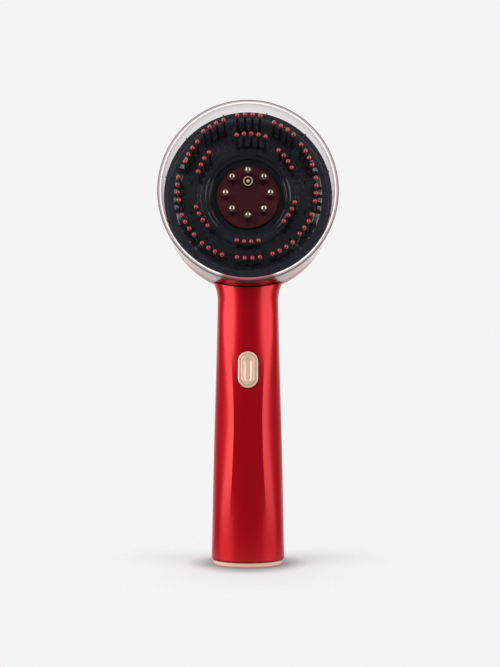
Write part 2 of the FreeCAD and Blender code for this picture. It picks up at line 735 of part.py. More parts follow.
def make_comb_plate():
    """Stepped comb plate, the frame behind it and the light board."""
    land_in = PLATE_EDGE + " - land_width"
    trough_out = land_in + " - trough_slope"
    collar_front = FLOOR + " - collar_height"
    step_front = collar_front + " + step_drop"
    hub_room = HUB_IN + " - slide_gap"
    plate = turned("comb_plate_turned", [
        (LAND, PLATE_EDGE), (LAND, land_in), (FLOOR, trough_out), (FLOOR, "collar_radius + fit_gap"),
        (collar_front, "collar_radius"), (collar_front, STEP_OUT), (step_front, STEP_OUT),
        (step_front, STEP_IN), (RECESS, STEP_IN), (RECESS, PLATE_HOLE), (RECESS_BACK, PLATE_HOLE),
        (RECESS_BACK, hub_room), (PLATE_BACK, hub_room), (PLATE_BACK, land_in + " + trough_slope"),
        (LAND + " + plate_wall", land_in + " + trough_slope"), (LAND + " + plate_wall", PLATE_EDGE)])
    holes = []
    lenses = []
    board_front = worth(PLATE_BACK) + size("slide_gap")
    lens_front = worth(FLOOR) - size("lens_stand")
    hole_radius = size("lens_radius") + size("fit_gap")
    hole = many_sided([(worth(FLOOR) - size("overrun"), hole_radius),
                       (worth(FLOOR) + size("overrun"), hole_radius)], TIP_SIDES)
    lens = many_sided([(lens_front, size("lens_radius") * TIP_RADIUS_SHARES[0]),
                       (lens_front + size("lens_stand"), size("lens_radius")),
                       (board_front, size("lens_radius"))], TIP_SIDES)
    for i in range(LENSES):
        turn = LENS_TURN + 360.0 * i / LENSES
        place = FreeCAD.Placement(spot(size("lens_ring_radius"), turn), FreeCAD.Rotation())
        holes.append(moved(hole, place))
        lenses.append(moved(lens, place))
    lens_holes = fixed("lens_holes", Part.makeCompound(holes))
    node(cut("comb_plate", plate, lens_holes), "comb_plate")
    node(fixed("light_lenses", Part.makeCompound(lenses)), "light_lenses")
    board = PLATE_BACK + " + slide_gap"
    board_in = HUB_OUT + " + slide_gap"
    board_out = land_in + " + trough_slope"
    board_back = board + " + led_board_thickness"
    node(turned("light_board", [(board, board_in), (board, board_out), (board_back, board_out),
                                (board_back, board_in)]), "light_board")
    frame_edge = "ring_radius - ring_wall - fit_gap"
    frame_front = "ring_back - plate_wall"
    lip = "ring_radius - shell_wall - fit_gap"
    node(turned("head_frame", [
        (PLATE_BACK, HUB_OUT), (frame_front, HUB_OUT), (frame_front, frame_edge), ("ring_back", frame_edge),
        ("ring_back", lip), ("ring_back + rim_band", lip), ("ring_back + rim_band", lip + " - plate_wall"),
        ("ring_back", lip + " - plate_wall"), ("ring_back", HUB_IN), (PLATE_BACK, HUB_IN)]), "head_frame")


def moved(shape, placement):
    """Copy of a shape at a new place."""
    copy = shape.copy()
    copy.Placement = placement.multiply(copy.Placement)
    return copy


def row_pieces(radius, pitch, count, lean):
    """One leaning row of bristles on its curved rail, and the caps on its tips, at the top of the head."""
    floor = worth(FLOOR)
    end = worth(LAND) - size("bristle_reach")
    rail_front = floor - size("rail_thickness")
    step = math.degrees(pitch / radius)
    stem = many_sided([(rail_front, size("stem_foot_radius")),
                       (end + size("tip_cover"), size("stem_end_radius"))], STEM_SIDES, lean, rail_front)
    tip_middle = end + size("tip_radius")
    stations = []
    for along, across in zip(TIP_LENGTH_SHARES, TIP_RADIUS_SHARES):
        stations.append((tip_middle - along * size("tip_radius"), across * size("tip_radius")))
    tip = many_sided(stations, TIP_SIDES, lean, rail_front).cut(stem)
    half_width = size("rail_width") / 2
    span = step * (count - 1) + 2 * math.degrees(half_width / radius)
    axis_point = Vector(0, rail_front, size("head_height"))
    profile = Part.makePolygon([
        axis_point + Vector(0, 0, radius - half_width), axis_point + Vector(0, 0, radius + half_width),
        axis_point + Vector(0, size("rail_thickness"), radius + half_width),
        axis_point + Vector(0, size("rail_thickness"), radius - half_width),
        axis_point + Vector(0, 0, radius - half_width)])
    rail = Part.Face(profile).revolve(axis_point, Vector(0, 1, 0), span)
    rail = moved(rail, head_swing(-span / 2))
    stems = []
    tips = []
    for i in range(count):
        place = FreeCAD.Placement(spot(radius, step * (i - (count - 1) / 2)), FreeCAD.Rotation())
        stems.append(moved(stem, place))
        tips.append(moved(tip, place))
    return rail.fuse(stems).removeSplitter(), tips


def make_bristles():
    """Rows of bristles round the head and the soft tips that cover their ends."""
    radius = size("outer_row_radius")
    covers = []
    for i, (turn, lean) in enumerate(zip(OUTER_ROW_TURNS, OUTER_LEAN_SHARES)):
        row, tips = row_pieces(radius, size("bristle_pitch"), ROW_BRISTLES, lean)
        label = "outer_bristle_row_%02d" % (i + 1)
        node(fixed(label, moved(row, head_swing(turn))), label)
        covers += [moved(tip, head_swing(turn)) for tip in tips]
    node(fixed("outer_bristle_tips", Part.makeCompound(covers)), "outer_bristle_tips")
    radius = size("inner_row_radius")
    covers = []
    for i, (turn, lean) in enumerate(zip(INNER_ROW_TURNS, INNER_LEAN_SHARES)):
        count = ROW_BRISTLES if i else TOP_INNER_BRISTLES
        row, tips = row_pieces(radius, size("inner_bristle_pitch"), count, lean)
        label = "inner_bristle_row_%d" % (i + 1)
        node(fixed(label, moved(row, head_swing(turn))), label)
        covers += [moved(tip, head_swing(turn)) for tip in tips]
    node(fixed("inner_bristle_tips", Part.makeCompound(covers)), "inner_bristle_tips")


def make_tank():
    """Window, seal, tank and filler of the applicator."""
    bead_spots = [spot(size("bead_ring_radius"), 360.0 * i / BEADS) for i in range(BEADS)]
    chamfer = "window_thickness / 4"
    disc = bar("window_disc", "window_radius", WINDOW, "window_thickness")
    bevelled = softened("window_bevelled", disc, chamfer, WINDOW + " - overrun", WINDOW + " + " + chamfer,
                        "Part::Chamfer")
    bore_radius = size("valve_stem_radius") + size("slide_gap")
    bore = many_sided([(worth(WINDOW) - size("overrun"), bore_radius),
                       (worth(WINDOW_BACK) + size("overrun"), bore_radius)], BEAD_SIDES)
    bores = [moved(bore, FreeCAD.Placement(place, FreeCAD.Rotation())) for place in bead_spots]
    filler_z = "head_height + filler_height"
    filler_hole = bar("filler_hole", "filler_bore_radius", WINDOW + " - overrun", "2 * overrun", z=filler_z)
    doc.recompute()
    window_holes = fixed("window_holes", Part.makeCompound(bores + [filler_hole.Shape.copy()]))
    node(cut("tank_window", bevelled, window_holes), "tank_window")
    guide_front = worth(WINDOW) - size("guide_length")
    guide_radius = bore_radius + size("guide_wall")
    guide = many_sided([(guide_front, guide_radius), (worth(WINDOW), guide_radius)], BEAD_SIDES).cut(bore)
    guides = [moved(guide, FreeCAD.Placement(place, FreeCAD.Rotation())) for place in bead_spots]
    node(fixed("bead_guides", Part.makeCompound(guides)), "bead_guides")
    tank_in = "window_radius - fit_gap - tank_wall"
    tank_out = "window_radius - fit_gap"
    rim = WINDOW_BACK + " + seal_thickness"
    node(turned("tank_seal", [(WINDOW_BACK, tank_in), (WINDOW_BACK, tank_out), (rim, tank_out),
                              (rim, tank_in)]), "tank_seal")
    ledge = DOME_SEAT + " + sheet_thickness + spring_plate_thickness"
    ledge_in = tank_in + " - tank_wall"
    back = rim + " + tank_depth"
    flange_back = RECESS_BACK + " + tank_wall"
    cup = turned("tank_cup", [
        (rim, tank_out), (RECESS_BACK, tank_out), (RECESS_BACK, "tank_flange_radius"),
        (flange_back, "tank_flange_radius"), (flange_back, tank_out), (back, tank_out), (back, ledge_in),
        (ledge, ledge_in), (ledge, tank_in), (rim, tank_in)])
    floor = bar("tank_floor", tank_out, back + " - tank_wall", "tank_wall")
    node(join("tank_body", [cup, floor]), "tank_body")
    collar = bar("filler_solid", "filler_radius", WINDOW + " - filler_length", "filler_length", z=filler_z)
    node(cut("filler_collar", collar, filler_hole), "filler_collar")
    plug = bar("filler_plug", "filler_bore_radius - run_gap", WINDOW + " - filler_length + plug_set_back",
               "filler_length - plug_set_back + window_thickness", z=filler_z)
    node(plug, "filler_plug")
    stud = bar("plug_stud", "stud_radius", WINDOW + " - filler_length", "plug_set_back", z=filler_z)
    node(stud, "plug_stud")


VALVE_HEAD = WINDOW_BACK + " + fit_gap"
VALVE_END = VALVE_HEAD + " + valve_head_length"
DOME_SEAT = "(" + VALVE_END + " + spring_room)"


def make_valves():
    """Sprung bead valves, the dome sheet that returns them and the plate behind it."""
    bead_middle = worth(WINDOW) - size("bead_stand")
    stations = []
    for along, across in zip(BEAD_LENGTH_SHARES, BEAD_RADIUS_SHARES):
        stations.append((bead_middle + along * size("bead_radius"), across * size("bead_radius")))
    head_start = worth(VALVE_HEAD)
    head_cone = size("valve_head_radius") - size("valve_stem_radius")
    stations += [(bead_middle + size("bead_radius"), size("valve_stem_radius")),
                 (head_start, size("valve_stem_radius")),
                 (head_start + head_cone / 2, size("valve_head_radius")),
                 (worth(VALVE_END), size("valve_head_radius"))]
    valve = many_sided(stations, BEAD_SIDES)
    for i in range(BEADS):
        place = FreeCAD.Placement(spot(size("bead_ring_radius"), 360.0 * i / BEADS), FreeCAD.Rotation())
        label = "bead_valve_%d" % (i + 1)
        node(fixed(label, moved(valve, place)), label)
    sheet_edge = "window_radius - fit_gap - tank_wall - fit_gap"
    disc = bar("sheet_disc", sheet_edge, DOME_SEAT, "sheet_thickness")
    dome_end = size("valve_head_radius")
    dome_foot = dome_end + size("sheet_thickness")
    wall = size("sheet_thickness") / 2
    seat = worth(DOME_SEAT)
    dome = many_sided([(worth(VALVE_END), dome_end), (seat + wall, dome_foot)], BEAD_SIDES)
    room = many_sided([(worth(VALVE_END) + wall, dome_end - wall),
                       (seat + size("overrun"), dome_foot - wall)], BEAD_SIDES)
    domes = []
    rooms = []
    for i in range(BEADS):
        place = FreeCAD.Placement(spot(size("bead_ring_radius"), 360.0 * i / BEADS), FreeCAD.Rotation())
        domes.append(fixed("dome_%d" % (i + 1), moved(dome, place)))
        rooms.append(moved(room, place))
    hollow = fixed("dome_rooms", Part.makeCompound(rooms))
    middle = bar("sheet_hole", "oil_hole_radius", DOME_SEAT + " - overrun", "2 * overrun")
    solid = join("sheet_solid", [disc] + domes)
    node(cut("valve_dome_sheet", cut("sheet_hollowed", solid, hollow), middle), "valve_dome_sheet")
    plate = bar("spring_plate_disc", sheet_edge, DOME_SEAT + " + sheet_thickness", "spring_plate_thickness")
    hole = bar("spring_plate_hole", "oil_hole_radius", DOME_SEAT + " - overrun", "2 * overrun")
    node(cut("spring_plate", plate, hole), "spring_plate")


def write_parts():
    """Check every object and write each sub-part to its own file."""
    doc.recompute()
    for item in doc.Objects:
        if "Invalid" in item.State or "Error" in item.State:
            raise RuntimeError("failed object: " + item.Label)
    for item in nodes:
        if item.Shape.isNull() or not item.Shape.isValid() or not item.Shape.Solids:
            raise RuntimeError("bad shape: " + item.Label)
    os.makedirs("parts", exist_ok=True)
    for item in nodes:
        item.Shape.exportStep("parts/%s.step" % item.Label)
        print(item.Label, len(item.Shape.Solids), round(item.Shape.Volume, 1))


fill_sheet()
make_housing()
make_base()
make_chassis()
make_motor()
make_button()
make_ring()
make_comb_plate()
make_bristles()
make_tank()
make_valves()
write_parts()
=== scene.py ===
import json
import math

import bmesh
import bpy
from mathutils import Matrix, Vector


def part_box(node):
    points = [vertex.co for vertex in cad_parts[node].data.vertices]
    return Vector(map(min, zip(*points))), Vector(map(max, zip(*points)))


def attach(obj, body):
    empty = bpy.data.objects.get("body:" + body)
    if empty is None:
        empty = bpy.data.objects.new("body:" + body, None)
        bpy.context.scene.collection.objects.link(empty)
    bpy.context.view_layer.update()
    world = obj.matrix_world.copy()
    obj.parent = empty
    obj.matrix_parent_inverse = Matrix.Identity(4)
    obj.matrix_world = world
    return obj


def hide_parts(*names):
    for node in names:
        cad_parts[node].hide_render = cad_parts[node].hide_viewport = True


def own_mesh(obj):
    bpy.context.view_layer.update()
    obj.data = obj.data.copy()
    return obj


# Scalp applicator comb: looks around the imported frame.
# Metres, +Z up, the bristles point towards -Y.
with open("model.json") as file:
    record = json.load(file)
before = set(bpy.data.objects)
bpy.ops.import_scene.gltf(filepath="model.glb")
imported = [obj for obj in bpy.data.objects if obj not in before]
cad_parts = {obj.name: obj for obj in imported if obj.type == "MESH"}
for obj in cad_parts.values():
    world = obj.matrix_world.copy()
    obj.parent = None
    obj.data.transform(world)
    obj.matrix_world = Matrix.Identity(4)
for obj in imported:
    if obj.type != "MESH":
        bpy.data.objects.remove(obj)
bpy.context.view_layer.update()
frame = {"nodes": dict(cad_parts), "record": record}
nodes = frame["nodes"]
scene = bpy.context.scene

MM = 0.001

# The photograph's frame, in pixels
IMAGE_WIDTH = 500
IMAGE_HEIGHT = 667
EYE_ACROSS = 248.0
EYE_LEVEL = 400.0
FOCAL_PIXELS = 930.0
SENSOR = 36.0

# Camera place
CAMERA_REACH = 450 * MM
CAMERA_HEIGHT = 85 * MM

# Room: reflections see it run from the dim front to the pale back, by their direction along Y
PALE = 0.905
ROOM_FRONT = 0.03
ROOM_DIM_UNTIL = 0.35
ROOM_PALE_FROM = 0.98
ROOM_AMBIENT = 0.50

# Soft lights, each turned towards a height on the object's axis; azimuth 0 is the camera's side
WARM = (1.0, 0.955, 0.885)
SOFTBOXES = (
    {"name": "left_softbox", "azimuth": -65, "reach": 0.60, "height": 0.45, "aim_height": 0.42,
     "width": 0.50, "tall": 0.97, "power": 5.1},
    {"name": "right_softbox", "azimuth": 65, "reach": 0.60, "height": 0.45, "aim_height": 0.42,
     "width": 0.50, "tall": 0.97, "power": 3.6},
    {"name": "overhead_softbox", "azimuth": 180, "reach": 0.16, "height": 1.05, "aim_height": 0.12,
     "width": 0.55, "tall": 0.55, "power": 2.4},
)

# Floor: it fades into the backdrop, with a painted contact shadow that darkens it where the foot stands
FLOOR_RADIUS = 0.42
FLOOR_SIDES = 64
FLOOR_FADE_START = 0.025
FLOOR_FADE_END = 0.10
FLOOR_COLOUR = (0.69, 0.735, 0.765)
FLOOR_FILL = 0.10
# Painted contact shadow: where it starts and ends round the foot, and how dark it gets there
PAINTED_SHADOW_START = 12.5 * MM
PAINTED_SHADOW_END = 34.5 * MM
PAINTED_SHADOW_LEVEL = 0.38

# Shading turns sharp above these angles, in degrees
FRAME_SHARP_ANGLE = 28
PIECE_SHARP_ANGLE = 40

# Bristle field: each row has its turn round the head and its lean outwards
OUTER_ROW_RADIUS = 33.4 * MM
OUTER_PITCH = 3.68 * MM
OUTER_ROW_TURNS = (0.6, 31.4, 61.0, 91.8, 122.4, 150.3, 179.6, 210.3, 238.1, 269.0, 302.1, 330.6)
OUTER_LEANS = (0.056, -0.013, -0.047, -0.040, -0.018, 0.012, 0.016, 0.046, 0.033, 0.008, -0.047, 0.029)
INNER_ROW_RADIUS = 24.9 * MM
INNER_PITCH = 3.5 * MM
INNER_ROW_TURNS = (3.4, 52.7, 120.5, 180.3, 238.0, 299.6)
INNER_LEANS = (0.029, -0.101, -0.071, 0.045, 0.075, 0.0)
ROW_BRISTLES = 4
TOP_INNER_BRISTLES = 5
RAIL_WIDTH = 1.6 * MM
RAIL_THICKNESS = 1.0 * MM
RAIL_STEPS = 6

# Stems and tips: the root flares by (share of the length, share of the foot's radius)
STEM_FOOT_RADIUS = 0.8 * MM
STEM_END_RADIUS = 0.45 * MM
STEM_ROOT_SHARES = ((0, 1.5), (0.04, 1.1), (0.12, 1))
STEM_SIDES = 14
TIP_RADIUS = 1.05 * MM
TIP_SWEEP = 150
TIP_NECK_SHARE = 1.25
TIP_SIDES = 20
TIP_RINGS = 10

# Beads
BEADS = 8
BEAD_RING_RADIUS = 11.0 * MM
BEAD_RADIUS = 1.6 * MM
BEAD_SWEEP = 148
BEAD_SIDES = 28
BEAD_RINGS = 14
VALVE_STEM_RADIUS = 0.8 * MM
VALVE_HEAD_RADIUS = 1.7 * MM
VALVE_HEAD_SHARE = 0.75
GUIDE_BORE = 1.1 * MM
GUIDE_WALL = 0.4 * MM

# Sheet with the domes that return the beads
SHEET_THICKNESS = 0.8 * MM
SHEET_HOLE = 2.0 * MM
DOME_FOOT = 2.5 * MM
DOME_WALL = 0.4 * MM

# Comb plate: depths from its land's front, and how far each edge is softened
LAND_WIDTH = 5.0 * MM
LAND_EDGE = 0.3 * MM
TROUGH_SLOPE = 2.75 * MM
TROUGH_DEPTH = 2.5 * MM
TROUGH_EDGE = 1.2 * MM
COVE_RADIUS = 25.2 * MM
COVE_EDGE = 1.1 * MM
COLLAR_RADIUS = 23.7 * MM
COLLAR_DEPTH = 0.5 * MM
COLLAR_WIDTH = 2.6 * MM
COLLAR_EDGE = 0.7 * MM
STEP_DEPTH = 1.5 * MM
STEP_WIDTH = 2.0 * MM
STEP_EDGE = 0.4 * MM
STEP_FOOT_EDGE = 0.3 * MM
RECESS_DEPTH = 4.5 * MM
PLATE_HOLE = 15.9 * MM
PLATE_WALL = 2.2 * MM
PLATE_SHELF = 2.4 * MM
HUB_RADIUS = 21.1 * MM
EDGE_DRAFT = 0.1 * MM
EDGE_STEPS = 5
PLATE_SIDES = 160

# Button: insets from each outline and depths from each front; the face's groove section is in mm
SURROUND_BAND = 1.5 * MM
SURROUND_EDGE = 0.5 * MM
SURROUND_INNER_EDGE = 0.25 * MM
# Dark ring round the surround that stands in for the shadow gap: painted shade
SHADOW_GAP_WIDTH = 0.45 * MM
SHADOW_GAP_DEPTH = 0.5 * MM
SHADOW_GAP_EDGE = 0.15 * MM
FACE_WIDTH = 3.55 * MM
FACE_LENGTH = 7.7 * MM
FACE_EDGE = 0.4 * MM
FACE_FLANGE = 3.3 * MM
FACE_FLANGE_BACK = 4.1 * MM
FACE_FOOT_RADIUS = 1.0 * MM
FACE_SECTION = ((0.75, 0, 0.1), (0.95, 0.22, 0.1), (1.15, 0.22, 0.1), (1.35, 0, 0.1), (1.8, 0, 0.15),
                (2.3, 0.45, 0.3), (3.2, 0.36, 0))
STADIUM_STEPS = 32

# Filler neck
FILLER_RING_DEPTH = 0.8 * MM
FILLER_RING_EDGE = 0.2 * MM
FILLER_BORE = 1.88 * MM
FILLER_BORE_EDGE = 0.15 * MM
FILLER_TUBE = 2.05 * MM
FILLER_TUBE_EDGE = 0.4 * MM

# Clear ring: painted tints from its front to its back, grey and at the back a pink of the red rim showing
# through, come in where its wall is seen edge on
RING_SIDES = 160
RING_WALL = 1.8 * MM
WALL_TINT_START = 0.35
WALL_TINT_END = 0.75
WALL_PAINTED_TINTS = ((0.0, (0.50, 0.45, 0.47, 1)), (0.22, (0.86, 0.82, 0.83, 1)), (0.62, (0.88, 0.85, 0.86, 1)),
              (0.78, (0.66, 0.50, 0.51, 1)), (1.0, (0.68, 0.50, 0.50, 1)))

# Front lip of the clear ring: painted light in bands from its bore outwards (a glowing painted highlight
# line, a grey band, a dark painted shade line), reddened over the neck as a painted show-through of the red
# neck
LIP_DEPTH = 0.9 * MM
LIP_STAND = 0.05 * MM
LIP_OUTER_EDGE = 0.55 * MM
LIP_INNER_EDGE = 0.2 * MM
LIP_PAINTED_BANDS = ((0.0, (0.98, 0.97, 0.98, 1)), (0.28, (0.98, 0.97, 0.98, 1)), (0.38, (0.46, 0.42, 0.44, 1)),
             (0.66, (0.52, 0.47, 0.49, 1)), (0.76, (0.13, 0.10, 0.11, 1)), (1.0, (0.17, 0.14, 0.15, 1)))
LIP_PAINTED_GLOW_GAMMA = 3
NECK_HALF_WIDTH = 14.5 * MM
NECK_EDGE = 3.0 * MM
NECK_PAINTED_SHOW_THROUGH = (0.50, 0.20, 0.22, 1)

# Red rim of the housing that the clear ring slides over
RIM_DEPTH = 11.5 * MM
RIM_WALL = 1.2 * MM
RIM_GAP = 0.15 * MM
RIM_EDGE = 0.3 * MM

# Dark seam between the shells, and a painted shadow line above the foot
SEAM_WIDTH = 0.22 * MM
SEAM_AND_FOOT_SHADOW_STRENGTH = 0.85
SEAM_AND_FOOT_SHADOW_COLOUR = (0.02, 0.0, 0.001, 1)
FOOT_SHADOW_LINE = 0.9 * MM

# Light spots
LENSES = 12
LENS_RING_RADIUS = 29.15 * MM
LENS_RADIUS = 1.0 * MM
LENS_RISE_SHARE = 0.4
LENS_DOME_STEP = 15
LENS_TURN = 15.0

# Colour sockets of the Mix node
MIX_FIRST = 6
MIX_SECOND = 7
MIX_RESULT = 2


def middle(node):
    """Middle of a CAD node's box."""
    low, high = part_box(node)
    return (low + high) / 2


HEAD_HEIGHT = middle("tank_window").z
RIM_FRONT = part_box("clear_ring")[0].y
RING_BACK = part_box("clear_ring")[1].y
RING_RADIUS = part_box("clear_ring")[1].x
SHELL_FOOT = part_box("front_shell")[0].z


# Shader building blocks

def math_node(tree, operation, first, second):
    """Math node on two sockets or numbers."""
    item = tree.nodes.new("ShaderNodeMath")
    item.operation = operation
    for i, value in enumerate((first, second)):
        if isinstance(value, (int, float)):
            item.inputs[i].default_value = value
        else:
            tree.links.new(value, item.inputs[i])
    return item.outputs[0]


def map_range(tree, value, low, high, start=0.0, end=1.0, smooth=False):
    """Value that runs from start at low to end at high."""
    item = tree.nodes.new("ShaderNodeMapRange")
    if smooth:
        item.interpolation_type = "SMOOTHSTEP"
    for label, number in (("From Min", low), ("From Max", high), ("To Min", start), ("To Max", end)):
        item.inputs[label].default_value = number
    tree.links.new(value, item.inputs["Value"])
    return item.outputs[0]


def mix_colours(tree, share, first, second, blend="MIX"):
    """Colour between two sockets or colours by a share."""
    item = tree.nodes.new("ShaderNodeMix")
    item.data_type = "RGBA"
    item.blend_type = blend
    tree.links.new(share, item.inputs["Factor"])
    for slot, colour in ((MIX_FIRST, first), (MIX_SECOND, second)):
        if isinstance(colour, tuple):
            item.inputs[slot].default_value = colour
        else:
            tree.links.new(colour, item.inputs[slot])
    return item.outputs[MIX_RESULT]


def scaled_colour(tree, colour, gain):
    """Colour, a socket or a plain one, times a varying gain."""
    item = tree.nodes.new("ShaderNodeVectorMath")
    item.operation = "SCALE"
    if isinstance(colour, tuple):
        item.inputs[0].default_value = colour
    else:
        tree.links.new(colour, item.inputs[0])
    tree.links.new(gain, item.inputs["Scale"])
    return item.outputs[0]


def colour_ramp(tree, share, stops):
    """Colour that follows a share through (position, colour) stops."""
    item = tree.nodes.new("ShaderNodeValToRGB")
    ramp = item.color_ramp
    ramp.elements[0].position, ramp.elements[0].color = stops[0]
    ramp.elements[1].position, ramp.elements[1].color = stops[-1]
    for position, colour in stops[1:-1]:
        ramp.elements.new(position).color = colour
    tree.links.new(share, item.inputs[0])
    return item.outputs[0]


def place_of(tree, kind="Object"):
    """Texture coordinates, the object's own unless another kind is named."""
    return tree.nodes.new("ShaderNodeTexCoord").outputs[kind]


def axes_of(tree, kind="Object"):
    """Texture coordinates as one output for each axis."""
    axes = tree.nodes.new("ShaderNodeSeparateXYZ")
    tree.links.new(place_of(tree, kind), axes.inputs[0])
    return axes.outputs


def noise_at(tree, scale, detail):
    """Noise in the object's own coordinates at the scale that a socket gives."""
    noise = tree.nodes.new("ShaderNodeTexNoise")
    noise.inputs["Detail"].default_value = detail
    tree.links.new(place_of(tree), noise.inputs["Vector"])
    tree.links.new(scale, noise.inputs["Scale"])
    return noise.outputs["Fac"]


def swing_of(tree, noise, strength, level):
    """Noise that swings by a strength to both sides of a level."""
    swing = math_node(tree, "SUBTRACT", noise, 0.5)
    gain = math_node(tree, "MULTIPLY", swing, strength)
    return math_node(tree, "ADD", gain, level)


# Shader groups

def new_group(name, inputs, outputs):
    """Empty shader group with named sockets."""
    group = bpy.data.node_groups.new(name, "ShaderNodeTree")
    for label, kind, value in inputs:
        socket = group.interface.new_socket(label, in_out="INPUT", socket_type=kind)
        socket.default_value = value
    for label, kind in outputs:
        group.interface.new_socket(label, in_out="OUTPUT", socket_type=kind)
    start = group.nodes.new("NodeGroupInput")
    end = group.nodes.new("NodeGroupOutput")
    return group, start, end


def make_mottle():
    """Colour that drifts a little lighter and darker over the surface."""
    group, start, end = new_group(
        "colour_mottle",
        [("Color", "NodeSocketColor", (0.5, 0.5, 0.5, 1)), ("Scale", "NodeSocketFloat", 80),
         ("Strength", "NodeSocketFloat", 0.2)],
        [("Color", "NodeSocketColor")])
    noise = noise_at(group, start.outputs["Scale"], detail=3)
    gain = swing_of(group, noise, start.outputs["Strength"], 1.0)
    group.links.new(scaled_colour(group, start.outputs["Color"], gain), end.inputs["Color"])
    return group


def make_smudge():
    """Roughness that varies as on a handled surface."""
    group, start, end = new_group(
        "handling_smudge",
        [("Roughness", "NodeSocketFloat", 0.3), ("Spread", "NodeSocketFloat", 0.1),
         ("Scale", "NodeSocketFloat", 60)],
        [("Roughness", "NodeSocketFloat")])
    noise = noise_at(group, start.outputs["Scale"], detail=4)
    level = swing_of(group, noise, start.outputs["Spread"], start.outputs["Roughness"])
    group.links.new(level, end.inputs["Roughness"])
    return group


def make_grain():
    """Fine relief of a moulded or lacquered skin."""
    group, start, end = new_group(
        "fine_grain",
        [("Scale", "NodeSocketFloat", 900), ("Strength", "NodeSocketFloat", 0.1),
         ("Depth", "NodeSocketFloat", 0.00002)],
        [("Normal", "NodeSocketVector")])
    noise = noise_at(group, start.outputs["Scale"], detail=2)
    bump = group.nodes.new("ShaderNodeBump")
    group.links.new(noise, bump.inputs["Height"])
    group.links.new(start.outputs["Strength"], bump.inputs["Strength"])
    group.links.new(start.outputs["Depth"], bump.inputs["Distance"])
    group.links.new(bump.outputs[0], end.inputs["Normal"])
    return group


def make_flake():
    """Metal flakes under a lacquer: small cells that catch the light unevenly."""
    group, start, end = new_group(
        "metal_flake",
        [("Color", "NodeSocketColor", (0.5, 0.0, 0.0, 1)), ("Flake", "NodeSocketColor", (0.9, 0.1, 0.1, 1)),
         ("Scale", "NodeSocketFloat", 6000), ("Amount", "NodeSocketFloat", 0.2)],
        [("Color", "NodeSocketColor")])
    cells = group.nodes.new("ShaderNodeTexVoronoi")
    group.links.new(place_of(group), cells.inputs["Vector"])
    group.links.new(start.outputs["Scale"], cells.inputs["Scale"])
    parts = group.nodes.new("ShaderNodeSeparateColor")
    group.links.new(cells.outputs["Color"], parts.inputs[0])
    share = math_node(group, "MULTIPLY", parts.outputs[0], start.outputs["Amount"])
    flecked = mix_colours(group, share, start.outputs["Color"], start.outputs["Flake"])
    group.links.new(flecked, end.inputs["Color"])
    return group


MOTTLE = make_mottle()
SMUDGE = make_smudge()
GRAIN = make_grain()
FLAKE = make_flake()


# Materials

def place_group(tree, group, values):
    """Put a shader group into a material with its own values."""
    item = tree.nodes.new("ShaderNodeGroup")
    item.node_tree = group
    for label, value in values.items():
        item.inputs[label].default_value = value
    return item


def bare_finish(name, roughness, constants=None, smudge=(0.08, 70), grain=None):
    """Material with uneven gloss and, if asked, a fine grain; its colour is left to the caller.

    The smudge is (spread, scale) and the grain (scale, strength).
    """
    material = bpy.data.materials.new(name)
    material.use_nodes = True
    tree = material.node_tree
    shader = tree.nodes["Principled BSDF"]
    for label, value in (constants or {}).items():
        shader.inputs[label].default_value = value
    gloss = place_group(tree, SMUDGE, {"Roughness": roughness, "Spread": smudge[0], "Scale": smudge[1]})
    tree.links.new(gloss.outputs["Roughness"], shader.inputs["Roughness"])
    if grain:
        relief = place_group(tree, GRAIN, {"Scale": grain[0], "Strength": grain[1]})
        tree.links.new(relief.outputs["Normal"], shader.inputs["Normal"])
    return material, tree, shader


def mottled(tree, colour, scale, strength):
    """Colour that drifts by the mottle group."""
    tone = place_group(tree, MOTTLE, {"Color": (*colour, 1), "Scale": scale, "Strength": strength})
    return tone.outputs["Color"]


def finish(name, colour, roughness, constants=None, mottle=(90, 0.25), smudge=(0.08, 70), grain=None):
    """Bare finish with a drifting colour; the mottle is (scale, strength)."""
    material, tree, shader = bare_finish(name, roughness, constants, smudge, grain)
    tree.links.new(mottled(tree, colour, *mottle), shader.inputs["Base Color"])
    return material


def red_lacquer():
    """Candy red with metal flakes under a soft clear coat, darker along the shells' seam and with a painted
    shadow line along the foot.
    """
    material, tree, shader = bare_finish(
        "red_lacquer", 0.36,
        {"Metallic": 0.56, "Specular IOR Level": 0.1, "Coat Weight": 0.58, "Coat Roughness": 0.24},
        smudge=(0.04, 45))
    flakes = place_group(tree, FLAKE, {"Color": (0.54, 0.0003, 0.008, 1), "Flake": (0.76, 0.001, 0.014, 1),
                                       "Scale": 5200, "Amount": 0.35})
    axes = axes_of(tree)
    off_seam = math_node(tree, "ABSOLUTE", axes["Y"], 0.0)
    seam = map_range(tree, off_seam, SEAM_WIDTH, SEAM_WIDTH / 2, end=SEAM_AND_FOOT_SHADOW_STRENGTH)
    # Painted shadow line along the shell's foot, where it meets the base
    foot = map_range(tree, axes["Z"], SHELL_FOOT + FOOT_SHADOW_LINE, SHELL_FOOT, end=SEAM_AND_FOOT_SHADOW_STRENGTH)
    seam_and_foot_shadow = math_node(tree, "MAXIMUM", seam, foot)
    lined = mix_colours(tree, seam_and_foot_shadow, flakes.outputs["Color"], SEAM_AND_FOOT_SHADOW_COLOUR)
    tree.links.new(lined, shader.inputs["Base Color"])
    return material


def clear_plastic():
    """Clear polished plastic of the head ring, with painted grey and pink tints for what shows through where
    it is seen along its wall.
    """
    material, tree, shader = bare_finish("clear_plastic", 0.02, {"Transmission Weight": 1.0, "IOR": 1.06},
                                         smudge=(0.02, 50))
    clear = mottled(tree, (0.97, 0.965, 0.965), 30, 0.02)
    facing = tree.nodes.new("ShaderNodeLayerWeight")
    facing.inputs["Blend"].default_value = 0.5
    share = map_range(tree, facing.outputs["Facing"], WALL_TINT_START, WALL_TINT_END)
    # Painted see-through tint by depth: grey at the front, pink of the red rim at the back
    depth = map_range(tree, axes_of(tree)["Y"], RIM_FRONT, RING_BACK)
    painted_tint = colour_ramp(tree, depth, WALL_PAINTED_TINTS)
    tree.links.new(mix_colours(tree, share, clear, painted_tint), shader.inputs["Base Color"])
    return material


